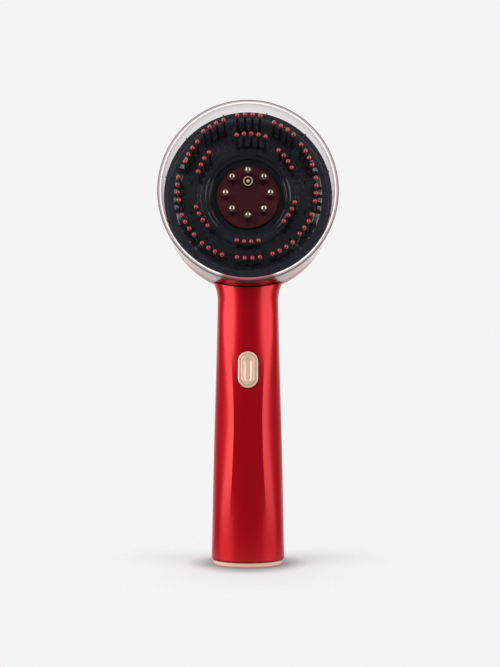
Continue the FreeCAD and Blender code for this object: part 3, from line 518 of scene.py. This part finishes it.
def lip_painted_light():
    """Edge of the clear ring: a glowing inner line as a painted highlight, a grey band and a dark outer line
    as painted shade, reddened over the neck as a painted show-through.
    """
    material, tree, shader = bare_finish("lip_painted_light", 0.12, {"Coat Weight": 0.5, "Emission Strength": 0.22})
    flat = tree.nodes.new("ShaderNodeVectorMath")
    flat.operation = "MULTIPLY"
    flat.inputs[1].default_value = (1, 0, 1)
    tree.links.new(place_of(tree), flat.inputs[0])
    across = tree.nodes.new("ShaderNodeVectorMath")
    across.operation = "DISTANCE"
    across.inputs[1].default_value = (0, 0, HEAD_HEIGHT)
    tree.links.new(flat.outputs[0], across.inputs[0])
    share = map_range(tree, across.outputs["Value"], RING_RADIUS - RING_WALL, RING_RADIUS)
    axes = axes_of(tree)
    aside = math_node(tree, "ABSOLUTE", axes["X"], 0.0)
    over_neck = map_range(tree, aside, NECK_HALF_WIDTH, NECK_HALF_WIDTH - NECK_EDGE)
    below = map_range(tree, axes["Z"], HEAD_HEIGHT, HEAD_HEIGHT - RING_RADIUS / 2)
    neck_show_through_mask = math_node(tree, "MULTIPLY", over_neck, below)
    painted_bands = mix_colours(tree, neck_show_through_mask, colour_ramp(tree, share, LIP_PAINTED_BANDS), NECK_PAINTED_SHOW_THROUGH, "MULTIPLY")
    tree.links.new(painted_bands, shader.inputs["Base Color"])
    # Painted glow: the bands light themselves, though the lip is no lamp
    glow = tree.nodes.new("ShaderNodeGamma")
    glow.inputs["Gamma"].default_value = LIP_PAINTED_GLOW_GAMMA
    tree.links.new(painted_bands, glow.inputs["Color"])
    tree.links.new(glow.outputs[0], shader.inputs["Emission Color"])
    return material


def make_materials():
    """One material for each of the record's slots, and the extra looks of some pieces."""
    gloss = {"Coat Weight": 0.3, "Coat Roughness": 0.08}
    metal = {"Metallic": 1.0}
    mirror = {"Specular IOR Level": 0.8, "Coat Weight": 0.6, "Coat Roughness": 0.05}
    lacquered = {"Coat Weight": 1.0, "Coat Roughness": 0.08}
    satin_gold = {"Metallic": 0.2, "Coat Weight": 1.0, "Coat IOR": 1.7, "Coat Roughness": 0.1}
    return {
        "red_lacquer": red_lacquer(),
        "rose_gold": finish("rose_gold", (0.92, 0.62, 0.46), 0.24, satin_gold, mottle=(200, 0.08),
                            smudge=(0.08, 90), grain=(1500, 0.05)),
        "clear_plastic": clear_plastic(),
        "black_gloss": finish("black_gloss", (0.021, 0.023, 0.030), 0.10, mirror, smudge=(0.06, 70),
                              grain=(700, 0.05)),
        "bristle_black": finish("bristle_black", (0.012, 0.012, 0.015), 0.34, grain=(1200, 0.1)),
        "tip_red": finish("tip_red", (0.36, 0.014, 0.026), 0.14, lacquered, mottle=(400, 0.3),
                          smudge=(0.05, 200)),
        "window_maroon": finish("window_maroon", (0.074, 0.013, 0.019), 0.22, gloss, grain=(500, 0.05)),
        "guide_maroon": finish("guide_maroon", (0.035, 0.004, 0.007), 0.28, gloss),
        "bead_steel": finish("bead_steel", (0.72, 0.53, 0.49), 0.16, {"Metallic": 0.85}, mottle=(600, 0.1)),
        "lens_dark": finish("lens_dark", (0.012, 0.010, 0.011), 0.15, gloss),
        "frame_grey": finish("frame_grey", (0.03, 0.03, 0.032), 0.5, grain=(600, 0.2)),
        "seal_rubber": finish("seal_rubber", (0.02, 0.02, 0.02), 0.6, grain=(900, 0.3)),
        "plug_polished": finish("plug_polished", (0.95, 0.84, 0.78), 0.3, {"Metallic": 0.3}),
        "board_green": finish("board_green", (0.01, 0.06, 0.025), 0.45, grain=(900, 0.2)),
        "switch_black": finish("switch_black", (0.015, 0.015, 0.015), 0.5),
        "plain_steel": finish("plain_steel", (0.55, 0.55, 0.56), 0.3, metal),
        "weight_brass": finish("weight_brass", (0.65, 0.45, 0.16), 0.3, metal),
        "cell_can": finish("cell_can", (0.02, 0.06, 0.18), 0.4),
        "lip_painted_light": lip_painted_light(),
        # Near-black look of the ring round the button: painted shade of the shadow gap
        "painted_shadow_gap": finish("painted_shadow_gap", (0.014, 0.002, 0.003), 0.7, {"Specular IOR Level": 0.1},
                            grain=(900, 0.2)),
        "polished_base": finish("polished_base", (0.97, 0.60, 0.47), 0.2,
                                {"Metallic": 0.15, "Coat Weight": 1.0}, mottle=(200, 0.08),
                                grain=(1500, 0.04)),
        "black_board": finish("black_board", (0.012, 0.013, 0.015), 0.4, grain=(900, 0.2)),
        "clear_tab": finish("clear_tab", (0.22, 0.21, 0.22), 0.1, {"Transmission Weight": 0.85, "IOR": 1.06}),
    }


MATERIALS = make_materials()
NODE_FINISHES = {"ring_tabs": "clear_tab", "base_cap": "polished_base", "light_board": "black_board"}


def dress_frame():
    """Give every CAD node its material and smooth shading; the clear ring casts no shadow."""
    for row in frame["record"]["subparts"]:
        mesh = nodes[row["node"]].data
        mesh.materials.clear()
        mesh.materials.append(MATERIALS[NODE_FINISHES.get(row["node"], row["material_slot"])])
        mesh.shade_smooth()
        mesh.set_sharp_from_angle(angle=math.radians(FRAME_SHARP_ANGLE))
    nodes["clear_ring"].visible_shadow = False


# Forms shared by the modelled pieces

def spot(radius, turn, depth):
    """Place on the head, at a radius and an angle clockwise from the top."""
    angle = math.radians(turn)
    return Vector((radius * math.sin(angle), depth, HEAD_HEIGHT + radius * math.cos(angle)))


def ball_profile(radius, sweep, rings):
    """(depth, radius) points of a ball's half outline, from its front pole through a sweep in degrees."""
    points = [(0, 0)]
    for i in range(1, rings + 1):
        angle = math.radians(sweep * i / rings)
        points.append((radius - radius * math.cos(angle), radius * math.sin(angle)))
    return points


def softened(corners):
    """Flat outline of (first, second, fillet) corners, each rounded by its fillet."""
    points = []
    for i, (first, second, fillet) in enumerate(corners):
        if not fillet:
            points.append((first, second))
            continue
        here = Vector((first, second))
        before = (Vector(corners[i - 1][:2]) - here).normalized()
        after = (Vector(corners[(i + 1) % len(corners)][:2]) - here).normalized()
        half = before.angle(after) / 2
        centre = here + (before + after).normalized() * (fillet / math.sin(half))
        run = fillet / math.tan(half)
        enter = (here + before * run - centre).normalized()
        leave = (here + after * run - centre).normalized()
        for k in range(EDGE_STEPS + 1):
            point = centre + enter.slerp(leave, k / EDGE_STEPS) * fillet
            points.append((point.x, point.y))
    return points


def add_turned(bm, place, profile, sides, closed=False, along=Vector((0, 1, 0))):
    """Turn (depth, radius) points about an axis through a place, along Y unless it leans."""
    rings = []
    for depth, radius in profile:
        centre = place + along * depth
        if radius == 0:
            rings.append([bm.verts.new(centre)])
            continue
        ring = []
        for i in range(sides):
            angle = 2 * math.pi * i / sides
            offset = Vector((radius * math.sin(angle), 0, radius * math.cos(angle)))
            ring.append(bm.verts.new(centre + offset))
        rings.append(ring)
    pairs = list(zip(rings, rings[1:]))
    if closed:
        pairs.append((rings[-1], rings[0]))
    for near, far in pairs:
        for i in range(sides):
            corners = [near[i % len(near)], near[(i + 1) % len(near)],
                       far[(i + 1) % len(far)], far[i % len(far)]]
            bm.faces.new(list(dict.fromkeys(corners)))


def add_stadium(bm, centre, half_width, half_length, profile, closed=False):
    """Sweep (inset, depth) points round an upright stadium; an open sweep gets end faces."""
    straight = half_length - half_width
    loops = []
    for inset, depth in profile:
        radius = half_width - inset
        loop = []
        for end in (1, -1):
            for i in range(STADIUM_STEPS + 1):
                angle = math.pi * i / STADIUM_STEPS
                across = radius * math.cos(angle)
                up = straight + radius * math.sin(angle)
                loop.append(bm.verts.new(centre + Vector((end * across, depth, end * up))))
        loops.append(loop)
    pairs = list(zip(loops, loops[1:]))
    if closed:
        pairs.append((loops[-1], loops[0]))
    for near, far in pairs:
        for i in range(len(near)):
            j = (i + 1) % len(near)
            bm.faces.new((near[i], near[j], far[j], far[i]))
    if not closed:
        bm.faces.new(loops[0])
        bm.faces.new(loops[-1])


def make_piece(name, bm, slot, body, replaced, look=None):
    """Turn a finished bmesh into a piece that rides on a body in place of CAD nodes."""
    bmesh.ops.recalc_face_normals(bm, faces=bm.faces)
    mesh = bpy.data.meshes.new(name)
    bm.to_mesh(mesh)
    bm.free()
    mesh.shade_smooth()
    mesh.set_sharp_from_angle(angle=math.radians(PIECE_SHARP_ANGLE))
    mesh.materials.append(MATERIALS[look or slot])
    piece = bpy.data.objects.new(name, mesh)
    scene.collection.objects.link(piece)
    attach(piece, body)
    if replaced:
        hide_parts(*replaced)
    return piece


# Bristles

class Row:
    """One row of bristles: where its stems stand and which way they lean."""

    def __init__(self, radius, pitch, turn, lean, count):
        self.radius = radius
        self.turn = turn
        self.step = math.degrees(pitch / radius)
        self.count = count
        angle = math.radians(turn)
        self.along = Vector((-lean * math.sin(angle), 1, -lean * math.cos(angle)))

    def spots(self, depth):
        """Feet of the row's stems at a depth."""
        return [spot(self.radius, self.turn + self.step * (i - (self.count - 1) / 2), depth)
                for i in range(self.count)]


def add_rail(bm, row, front, back):
    """Curved rail that carries one row, with softened front edges."""
    half = RAIL_WIDTH / 2
    soft = RAIL_THICKNESS / 4
    section = [(-half, back), (-half, front + soft), (-half + soft, front), (half - soft, front),
               (half, front + soft), (half, back)]
    span = row.step * (row.count - 1) + 2 * math.degrees(half / row.radius)
    steps = RAIL_STEPS * row.count
    slices = []
    for i in range(steps + 1):
        angle = row.turn - span / 2 + span * i / steps
        slices.append([bm.verts.new(spot(row.radius + out, angle, depth)) for out, depth in section])
    for near, far in zip(slices, slices[1:]):
        for i in range(len(section)):
            j = (i + 1) % len(section)
            bm.faces.new((near[i], near[j], far[j], far[i]))
    bm.faces.new(slices[0])
    bm.faces.new(list(reversed(slices[-1])))


def make_row(name, node, row):
    """One row of tapered stems on its rail; returns the depth of the stems' feet."""
    low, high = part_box(node)
    front = high.y - RAIL_THICKNESS
    reach = front - low.y
    root = [(-share * reach, STEM_FOOT_RADIUS * width) for share, width in STEM_ROOT_SHARES]
    profile = root + [(-reach, STEM_END_RADIUS), (-reach, 0)]
    bm = bmesh.new()
    add_rail(bm, row, front, high.y)
    for place in row.spots(front):
        add_turned(bm, place, profile, STEM_SIDES, along=row.along)
    make_piece(name, bm, "bristle_black", "applicator", [node])
    return front


def make_tips(name, node, rows, foot):
    """Ball tips over the ends of the stems of several rows that stand on one foot depth."""
    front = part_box(node)[0].y
    ball = ball_profile(TIP_RADIUS, TIP_SWEEP, TIP_RINGS)
    neck = ball[-1][0] + TIP_RADIUS / 4
    profile = ball + [(neck, STEM_END_RADIUS * TIP_NECK_SHARE), (neck, 0)]
    bm = bmesh.new()
    for row in rows:
        for place in row.spots(foot):
            add_turned(bm, place + row.along * (front - foot), profile, TIP_SIDES, along=row.along)
    make_piece(name, bm, "tip_red", "applicator", [node])


def make_bristles():
    """All rows with their tips."""
    outer = [Row(OUTER_ROW_RADIUS, OUTER_PITCH, turn, lean, ROW_BRISTLES)
             for turn, lean in zip(OUTER_ROW_TURNS, OUTER_LEANS)]
    inner = [Row(INNER_ROW_RADIUS, INNER_PITCH, turn, lean, ROW_BRISTLES if i else TOP_INNER_BRISTLES)
             for i, (turn, lean) in enumerate(zip(INNER_ROW_TURNS, INNER_LEANS))]
    feet = [make_row("outer_row_%02d" % i, "outer_bristle_row_%02d" % i, row)
            for i, row in enumerate(outer, 1)]
    for i, row in enumerate(inner, 1):
        make_row("inner_row_%d" % i, "inner_bristle_row_%d" % i, row)
    foot = feet[-1]
    make_tips("outer_ball_tips", "outer_bristle_tips", outer, foot)
    make_tips("inner_ball_tips", "inner_bristle_tips", inner, foot)


# Beads and their return domes

def make_beads():
    """Polished beads on their stems, each on its own sprung body, and the guide tubes round them."""
    guide_low, guide_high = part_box("bead_guides")
    depth = guide_high.y - guide_low.y
    lip = GUIDE_WALL / 3
    outer = GUIDE_BORE + GUIDE_WALL
    tube = [(lip, outer), (depth, outer), (depth, GUIDE_BORE), (lip, GUIDE_BORE),
            (0, GUIDE_BORE + lip), (0, outer - lip)]
    ball = ball_profile(BEAD_RADIUS, BEAD_SWEEP, BEAD_RINGS)
    guides = bmesh.new()
    for i in range(BEADS):
        node = "bead_valve_%d" % (i + 1)
        low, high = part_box(node)
        place = spot(BEAD_RING_RADIUS, 360 * i / BEADS, low.y)
        length = high.y - low.y
        head = length - VALVE_HEAD_RADIUS * VALVE_HEAD_SHARE
        profile = ball + [
            (ball[-1][0] + BEAD_RADIUS / 4, VALVE_STEM_RADIUS),
            (head - VALVE_HEAD_RADIUS / 4, VALVE_STEM_RADIUS),
            (head, VALVE_HEAD_RADIUS), (length, VALVE_HEAD_RADIUS), (length, 0)]
        bm = bmesh.new()
        add_turned(bm, place, profile, BEAD_SIDES)
        make_piece("applicator_bead_%d" % (i + 1), bm, "bead_steel", "bead_%d" % (i + 1), [node])
        add_turned(guides, Vector((place.x, guide_low.y, place.z)), tube, BEAD_SIDES, closed=True)
    make_piece("bead_guide_tubes", guides, "guide_maroon", "applicator", ["bead_guides"])


def make_domes():
    """Rubber sheet whose domes return the beads, each dome a piece with its own mesh."""
    low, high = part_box("valve_dome_sheet")
    seat = high.y - SHEET_THICKNESS
    rim = high.x
    section = [(0, rim), (0, SHEET_HOLE), (SHEET_THICKNESS, SHEET_HOLE), (SHEET_THICKNESS, rim)]
    sheet = bmesh.new()
    add_turned(sheet, Vector((0, seat, HEAD_HEIGHT)), section, RING_SIDES, closed=True)
    make_piece("return_sheet", sheet, "seal_rubber", "applicator", ["valve_dome_sheet"])
    tall = seat - low.y
    front = VALVE_HEAD_RADIUS
    profile = [(0, 0), (0, front - DOME_WALL), (DOME_WALL / 2, front - DOME_WALL / 4), (DOME_WALL, front),
               (tall, DOME_FOOT), (tall, DOME_FOOT - DOME_WALL), (2 * DOME_WALL, front - DOME_WALL),
               (DOME_WALL, front - 2 * DOME_WALL), (DOME_WALL, 0)]
    for i in range(BEADS):
        place = spot(BEAD_RING_RADIUS, 360 * i / BEADS, low.y)
        bm = bmesh.new()
        add_turned(bm, place, profile, BEAD_SIDES)
        dome = make_piece("return_dome_%d" % (i + 1), bm, "seal_rubber", "applicator", [])
        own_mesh(dome)


# Head

def make_plate():
    """Comb plate with softened edges: land, trough, collar, step and recess."""
    low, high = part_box("comb_plate")
    edge = (high.x - low.x) / 2
    slope_top = edge - LAND_WIDTH
    step = COLLAR_RADIUS - COLLAR_WIDTH
    recess = step - STEP_WIDTH
    back = TROUGH_DEPTH + PLATE_WALL
    hub_back = RECESS_DEPTH + PLATE_WALL
    shelf = slope_top + PLATE_SHELF
    corners = [
        (0, edge, LAND_EDGE), (0, slope_top, TROUGH_EDGE),
        (TROUGH_DEPTH, slope_top - TROUGH_SLOPE, TROUGH_EDGE), (TROUGH_DEPTH, COVE_RADIUS, COVE_EDGE),
        (COLLAR_DEPTH, COLLAR_RADIUS, COLLAR_EDGE), (COLLAR_DEPTH, step, STEP_EDGE),
        (STEP_DEPTH, step - EDGE_DRAFT, STEP_FOOT_EDGE),
        (STEP_DEPTH, recess, STEP_EDGE), (RECESS_DEPTH, recess - EDGE_DRAFT, STEP_EDGE),
        (RECESS_DEPTH, PLATE_HOLE, 0), (hub_back, PLATE_HOLE, 0), (hub_back, HUB_RADIUS, 0),
        (back, HUB_RADIUS, 0), (back, shelf, 0), (PLATE_WALL, shelf, 0), (PLATE_WALL, edge, 0)]
    bm = bmesh.new()
    add_turned(bm, Vector((0, low.y, HEAD_HEIGHT)), softened(corners), PLATE_SIDES, closed=True)
    make_piece("stepped_comb_plate", bm, "black_gloss", "applicator", ["comb_plate"])


def make_filler():
    """Filler neck: a slim bright ring on a dark tube."""
    low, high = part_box("filler_collar")
    outer = (high.x - low.x) / 2
    length = high.y - low.y
    place = Vector((0, low.y, middle("filler_collar").z))
    outline = softened([
        (0, outer, FILLER_RING_EDGE), (0, FILLER_BORE, FILLER_BORE_EDGE), (FILLER_RING_DEPTH, FILLER_BORE, 0),
        (FILLER_RING_DEPTH, outer, FILLER_RING_EDGE)])
    ring = bmesh.new()
    add_turned(ring, place, outline, BEAD_SIDES, closed=True)
    make_piece("filler_ring", ring, "rose_gold", "applicator", ["filler_collar"])
    outline = softened([
        (FILLER_RING_DEPTH, FILLER_TUBE, 0), (FILLER_RING_DEPTH, FILLER_BORE, 0), (length, FILLER_BORE, 0),
        (length, outer, 0), (length - FILLER_RING_DEPTH, FILLER_TUBE, FILLER_TUBE_EDGE)])
    tube = bmesh.new()
    add_turned(tube, place, outline, BEAD_SIDES, closed=True)
    make_piece("filler_tube", tube, "guide_maroon", "applicator", [])


def make_lip():
    """Bead along the front edge of the clear ring, coloured with painted highlight and shade bands."""
    low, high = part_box("clear_ring")
    outer = (high.x - low.x) / 2 + LIP_STAND
    inner = outer - RING_WALL - 2 * LIP_STAND
    profile = softened([(LIP_DEPTH, outer, 0), (-LIP_STAND, outer, LIP_OUTER_EDGE),
                        (-LIP_STAND, inner, LIP_INNER_EDGE), (LIP_DEPTH, inner, 0)])
    bm = bmesh.new()
    add_turned(bm, Vector((0, low.y, HEAD_HEIGHT)), profile, RING_SIDES, closed=True)
    make_piece("ring_lip", bm, "clear_plastic", "applicator", [], "lip_painted_light")


def make_rim():
    """Red rim of the housing inside the clear ring, in front of the head frame's flange."""
    outer = RING_RADIUS - RING_WALL - RIM_GAP
    inner = outer - RIM_WALL
    profile = softened([(0, outer, 0), (-RIM_DEPTH, outer, RIM_EDGE), (-RIM_DEPTH, inner, RIM_EDGE),
                        (0, inner, 0)])
    bm = bmesh.new()
    add_turned(bm, Vector((0, RING_BACK - PLATE_WALL, HEAD_HEIGHT)), profile, RING_SIDES, closed=True)
    make_piece("housing_rim", bm, "red_lacquer", "applicator", [])


def make_lenses():
    """Domed light spots in the trough."""
    low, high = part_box("light_lenses")
    depth = high.y - low.y
    angles = [math.radians(turn) for turn in range(0, 91, LENS_DOME_STEP)]
    dome = [(LENS_RADIUS * LENS_RISE_SHARE * (1 - math.cos(angle)), LENS_RADIUS * math.sin(angle))
            for angle in angles]
    bm = bmesh.new()
    for i in range(LENSES):
        place = spot(LENS_RING_RADIUS, LENS_TURN + 360 * i / LENSES, low.y)
        add_turned(bm, place, dome + [(depth, LENS_RADIUS), (depth, 0)], TIP_SIDES)
    make_piece("light_spots", bm, "lens_dark", "applicator", ["light_lenses"])


# Button

def make_button():
    """Button face with racetrack grooves, its surround and a dark ring round that, painted shade for the
    shadow gap.
    """
    low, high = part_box("button_bezel")
    half_width = (high.x - low.x) / 2
    half_length = (high.z - low.z) / 2
    height = middle("button_bezel").z
    front = Vector((0, low.y, height))
    back = high.y - low.y
    outline = softened([(0, back, 0), (0, 0, SURROUND_EDGE), (SURROUND_BAND, 0, SURROUND_INNER_EDGE),
                        (SURROUND_BAND, back, 0)])
    ring = bmesh.new()
    add_stadium(ring, front, half_width, half_length, outline, closed=True)
    make_piece("button_surround", ring, "rose_gold", "applicator", ["button_bezel"])
    # Dark ring as painted shade of the shadow gap round the surround
    outline = softened([(-SHADOW_GAP_WIDTH, back, 0), (-SHADOW_GAP_WIDTH, SHADOW_GAP_DEPTH, SHADOW_GAP_EDGE), (0, SHADOW_GAP_DEPTH, 0),
                        (0, back, 0)])
    shadow_gap = bmesh.new()
    add_stadium(shadow_gap, front, half_width, half_length, outline, closed=True)
    make_piece("button_shadow_gap_ring", shadow_gap, "seal_rubber", "applicator", [], "painted_shadow_gap")
    low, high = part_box("button_cap")
    front = Vector((0, low.y, height))
    back = high.y - low.y
    flange = (high.x - low.x) / 2 - FACE_WIDTH
    section = [(0, FACE_FLANGE_BACK, 0), (-flange, FACE_FLANGE_BACK, 0), (-flange, FACE_FLANGE, 0),
               (0, FACE_FLANGE, 0), (0, 0, FACE_EDGE)]
    section += [(inset * MM, depth * MM, fillet * MM) for inset, depth, fillet in FACE_SECTION]
    foot = [(FACE_FLANGE, 0), (FACE_FLANGE, FACE_FOOT_RADIUS), (back, FACE_FOOT_RADIUS), (back, 0)]
    face = bmesh.new()
    add_stadium(face, front, FACE_WIDTH, FACE_LENGTH, softened(section))
    add_turned(face, front, foot, STEM_SIDES)
    make_piece("button_face", face, "rose_gold", "button", ["button_cap"])


# Stage

def make_camera():
    """Level camera at the photograph's eye level, with the lens shifted up to the head."""
    data = bpy.data.cameras.new("level_camera")
    data.sensor_fit = "AUTO"
    data.sensor_width = SENSOR
    data.lens = FOCAL_PIXELS * SENSOR / IMAGE_HEIGHT
    data.shift_x = (IMAGE_WIDTH / 2 - EYE_ACROSS) / IMAGE_HEIGHT
    data.shift_y = (EYE_LEVEL - IMAGE_HEIGHT / 2) / IMAGE_HEIGHT
    camera = bpy.data.objects.new("level_camera", data)
    camera.location = (0, RIM_FRONT - CAMERA_REACH, CAMERA_HEIGHT)
    camera.rotation_euler = (math.radians(90), 0, 0)
    scene.collection.objects.link(camera)
    scene.camera = camera


def add_softbox(name, azimuth, reach, height, aim_height, width, tall, power):
    """Soft light that faces the object and shows only in what it lights and in reflections."""
    data = bpy.data.lights.new(name, "AREA")
    data.shape = "RECTANGLE"
    data.size = width
    data.size_y = tall
    data.energy = power
    data.color = WARM
    lamp = bpy.data.objects.new(name, data)
    angle = math.radians(azimuth)
    lamp.location = (reach * math.sin(angle), -reach * math.cos(angle), height)
    aim = Vector((0, 0, aim_height)) - lamp.location
    lamp.rotation_euler = aim.to_track_quat("-Z", "Y").to_euler()
    lamp.visible_camera = False
    lamp.visible_transmission = False
    scene.collection.objects.link(lamp)


def make_lights():
    """Two side softboxes and a soft light above."""
    for row in SOFTBOXES:
        add_softbox(**row)


def make_world():
    """Pale backdrop as the camera sees it; gloss shows it behind the object and a dimmer room in front."""
    world = bpy.data.worlds.new("studio_room")
    scene.world = world
    world.use_nodes = True
    tree = world.node_tree
    back = tree.nodes["Background"]
    back.inputs["Color"].default_value = (1, 1, 1, 1)
    path = tree.nodes.new("ShaderNodeLightPath").outputs
    reflected = map_range(tree, axes_of(tree, "Generated")["Y"], ROOM_DIM_UNTIL, ROOM_PALE_FROM,
                          ROOM_FRONT, PALE, smooth=True)
    mirrored = math_node(tree, "SUBTRACT", path["Is Glossy Ray"], path["Is Transmission Ray"])
    bounced = math_node(tree, "MAXIMUM", mirrored, math_node(tree, "MINIMUM", path["Glossy Depth"], 1.0))
    dull = math_node(tree, "SUBTRACT", 1.0, bounced)
    seen = math_node(tree, "MAXIMUM", path["Is Camera Ray"], path["Is Transmission Ray"])
    seen = math_node(tree, "MULTIPLY", seen, dull)
    glossy = math_node(tree, "MULTIPLY", bounced, reflected)
    ambient = math_node(tree, "MULTIPLY", dull, ROOM_AMBIENT)
    room = math_node(tree, "ADD", glossy, ambient)
    hidden = math_node(tree, "SUBTRACT", 1.0, seen)
    unseen = math_node(tree, "MULTIPLY", hidden, room)
    shown = math_node(tree, "MULTIPLY", seen, PALE)
    tree.links.new(math_node(tree, "ADD", unseen, shown), back.inputs["Strength"])


def floor_material():
    """Matte pale floor, darker under the foot by a painted shadow, that turns clear away from it and from
    below.
    """
    material = bpy.data.materials.new("pale_floor")
    material.use_nodes = True
    tree = material.node_tree
    tree.nodes.remove(tree.nodes["Principled BSDF"])
    length = tree.nodes.new("ShaderNodeVectorMath")
    length.operation = "LENGTH"
    tree.links.new(place_of(tree), length.inputs[0])
    away = length.outputs["Value"]
    # Painted contact shadow: the floor's colour and fill darken towards the foot
    painted_shadow = map_range(tree, away, PAINTED_SHADOW_START, PAINTED_SHADOW_END, start=PAINTED_SHADOW_LEVEL, smooth=True)
    fade = map_range(tree, away, FLOOR_FADE_START, FLOOR_FADE_END, smooth=True)
    path = tree.nodes.new("ShaderNodeLightPath").outputs
    seen = math_node(tree, "MAXIMUM", path["Is Camera Ray"], path["Is Transmission Ray"])
    seen = math_node(tree, "MAXIMUM", seen, path["Is Glossy Ray"])
    matte = tree.nodes.new("ShaderNodeBsdfDiffuse")
    tree.links.new(scaled_colour(tree, FLOOR_COLOUR, painted_shadow), matte.inputs["Color"])
    glow = tree.nodes.new("ShaderNodeEmission")
    fill = math_node(tree, "MULTIPLY", painted_shadow, FLOOR_FILL)
    tree.links.new(math_node(tree, "MULTIPLY", seen, fill), glow.inputs["Strength"])
    lit = tree.nodes.new("ShaderNodeAddShader")
    tree.links.new(matte.outputs[0], lit.inputs[0])
    tree.links.new(glow.outputs[0], lit.inputs[1])
    side = tree.nodes.new("ShaderNodeNewGeometry")
    clear = tree.nodes.new("ShaderNodeBsdfTransparent")
    mix = tree.nodes.new("ShaderNodeMixShader")
    tree.links.new(math_node(tree, "MAXIMUM", fade, side.outputs["Backfacing"]), mix.inputs[0])
    tree.links.new(lit.outputs[0], mix.inputs[1])
    tree.links.new(clear.outputs[0], mix.inputs[2])
    tree.links.new(mix.outputs[0], tree.nodes["Material Output"].inputs["Surface"])
    return material


def make_floor():
    """Pale floor that fades into the backdrop and keeps the soft shadow, with a painted contact shadow round
    the foot.
    """
    bm = bmesh.new()
    bmesh.ops.create_circle(bm, cap_ends=True, segments=FLOOR_SIDES, radius=FLOOR_RADIUS)
    mesh = bpy.data.meshes.new("studio_floor")
    bm.to_mesh(mesh)
    bm.free()
    mesh.materials.append(floor_material())
    floor = bpy.data.objects.new("studio_floor", mesh)
    scene.collection.objects.link(floor)


dress_frame()
make_bristles()
make_beads()
make_domes()
make_plate()
make_button()
make_filler()
make_lip()
make_rim()
make_lenses()
make_camera()
make_lights()
make_world()
make_floor()
scene.view_settings.view_transform = "Standard"
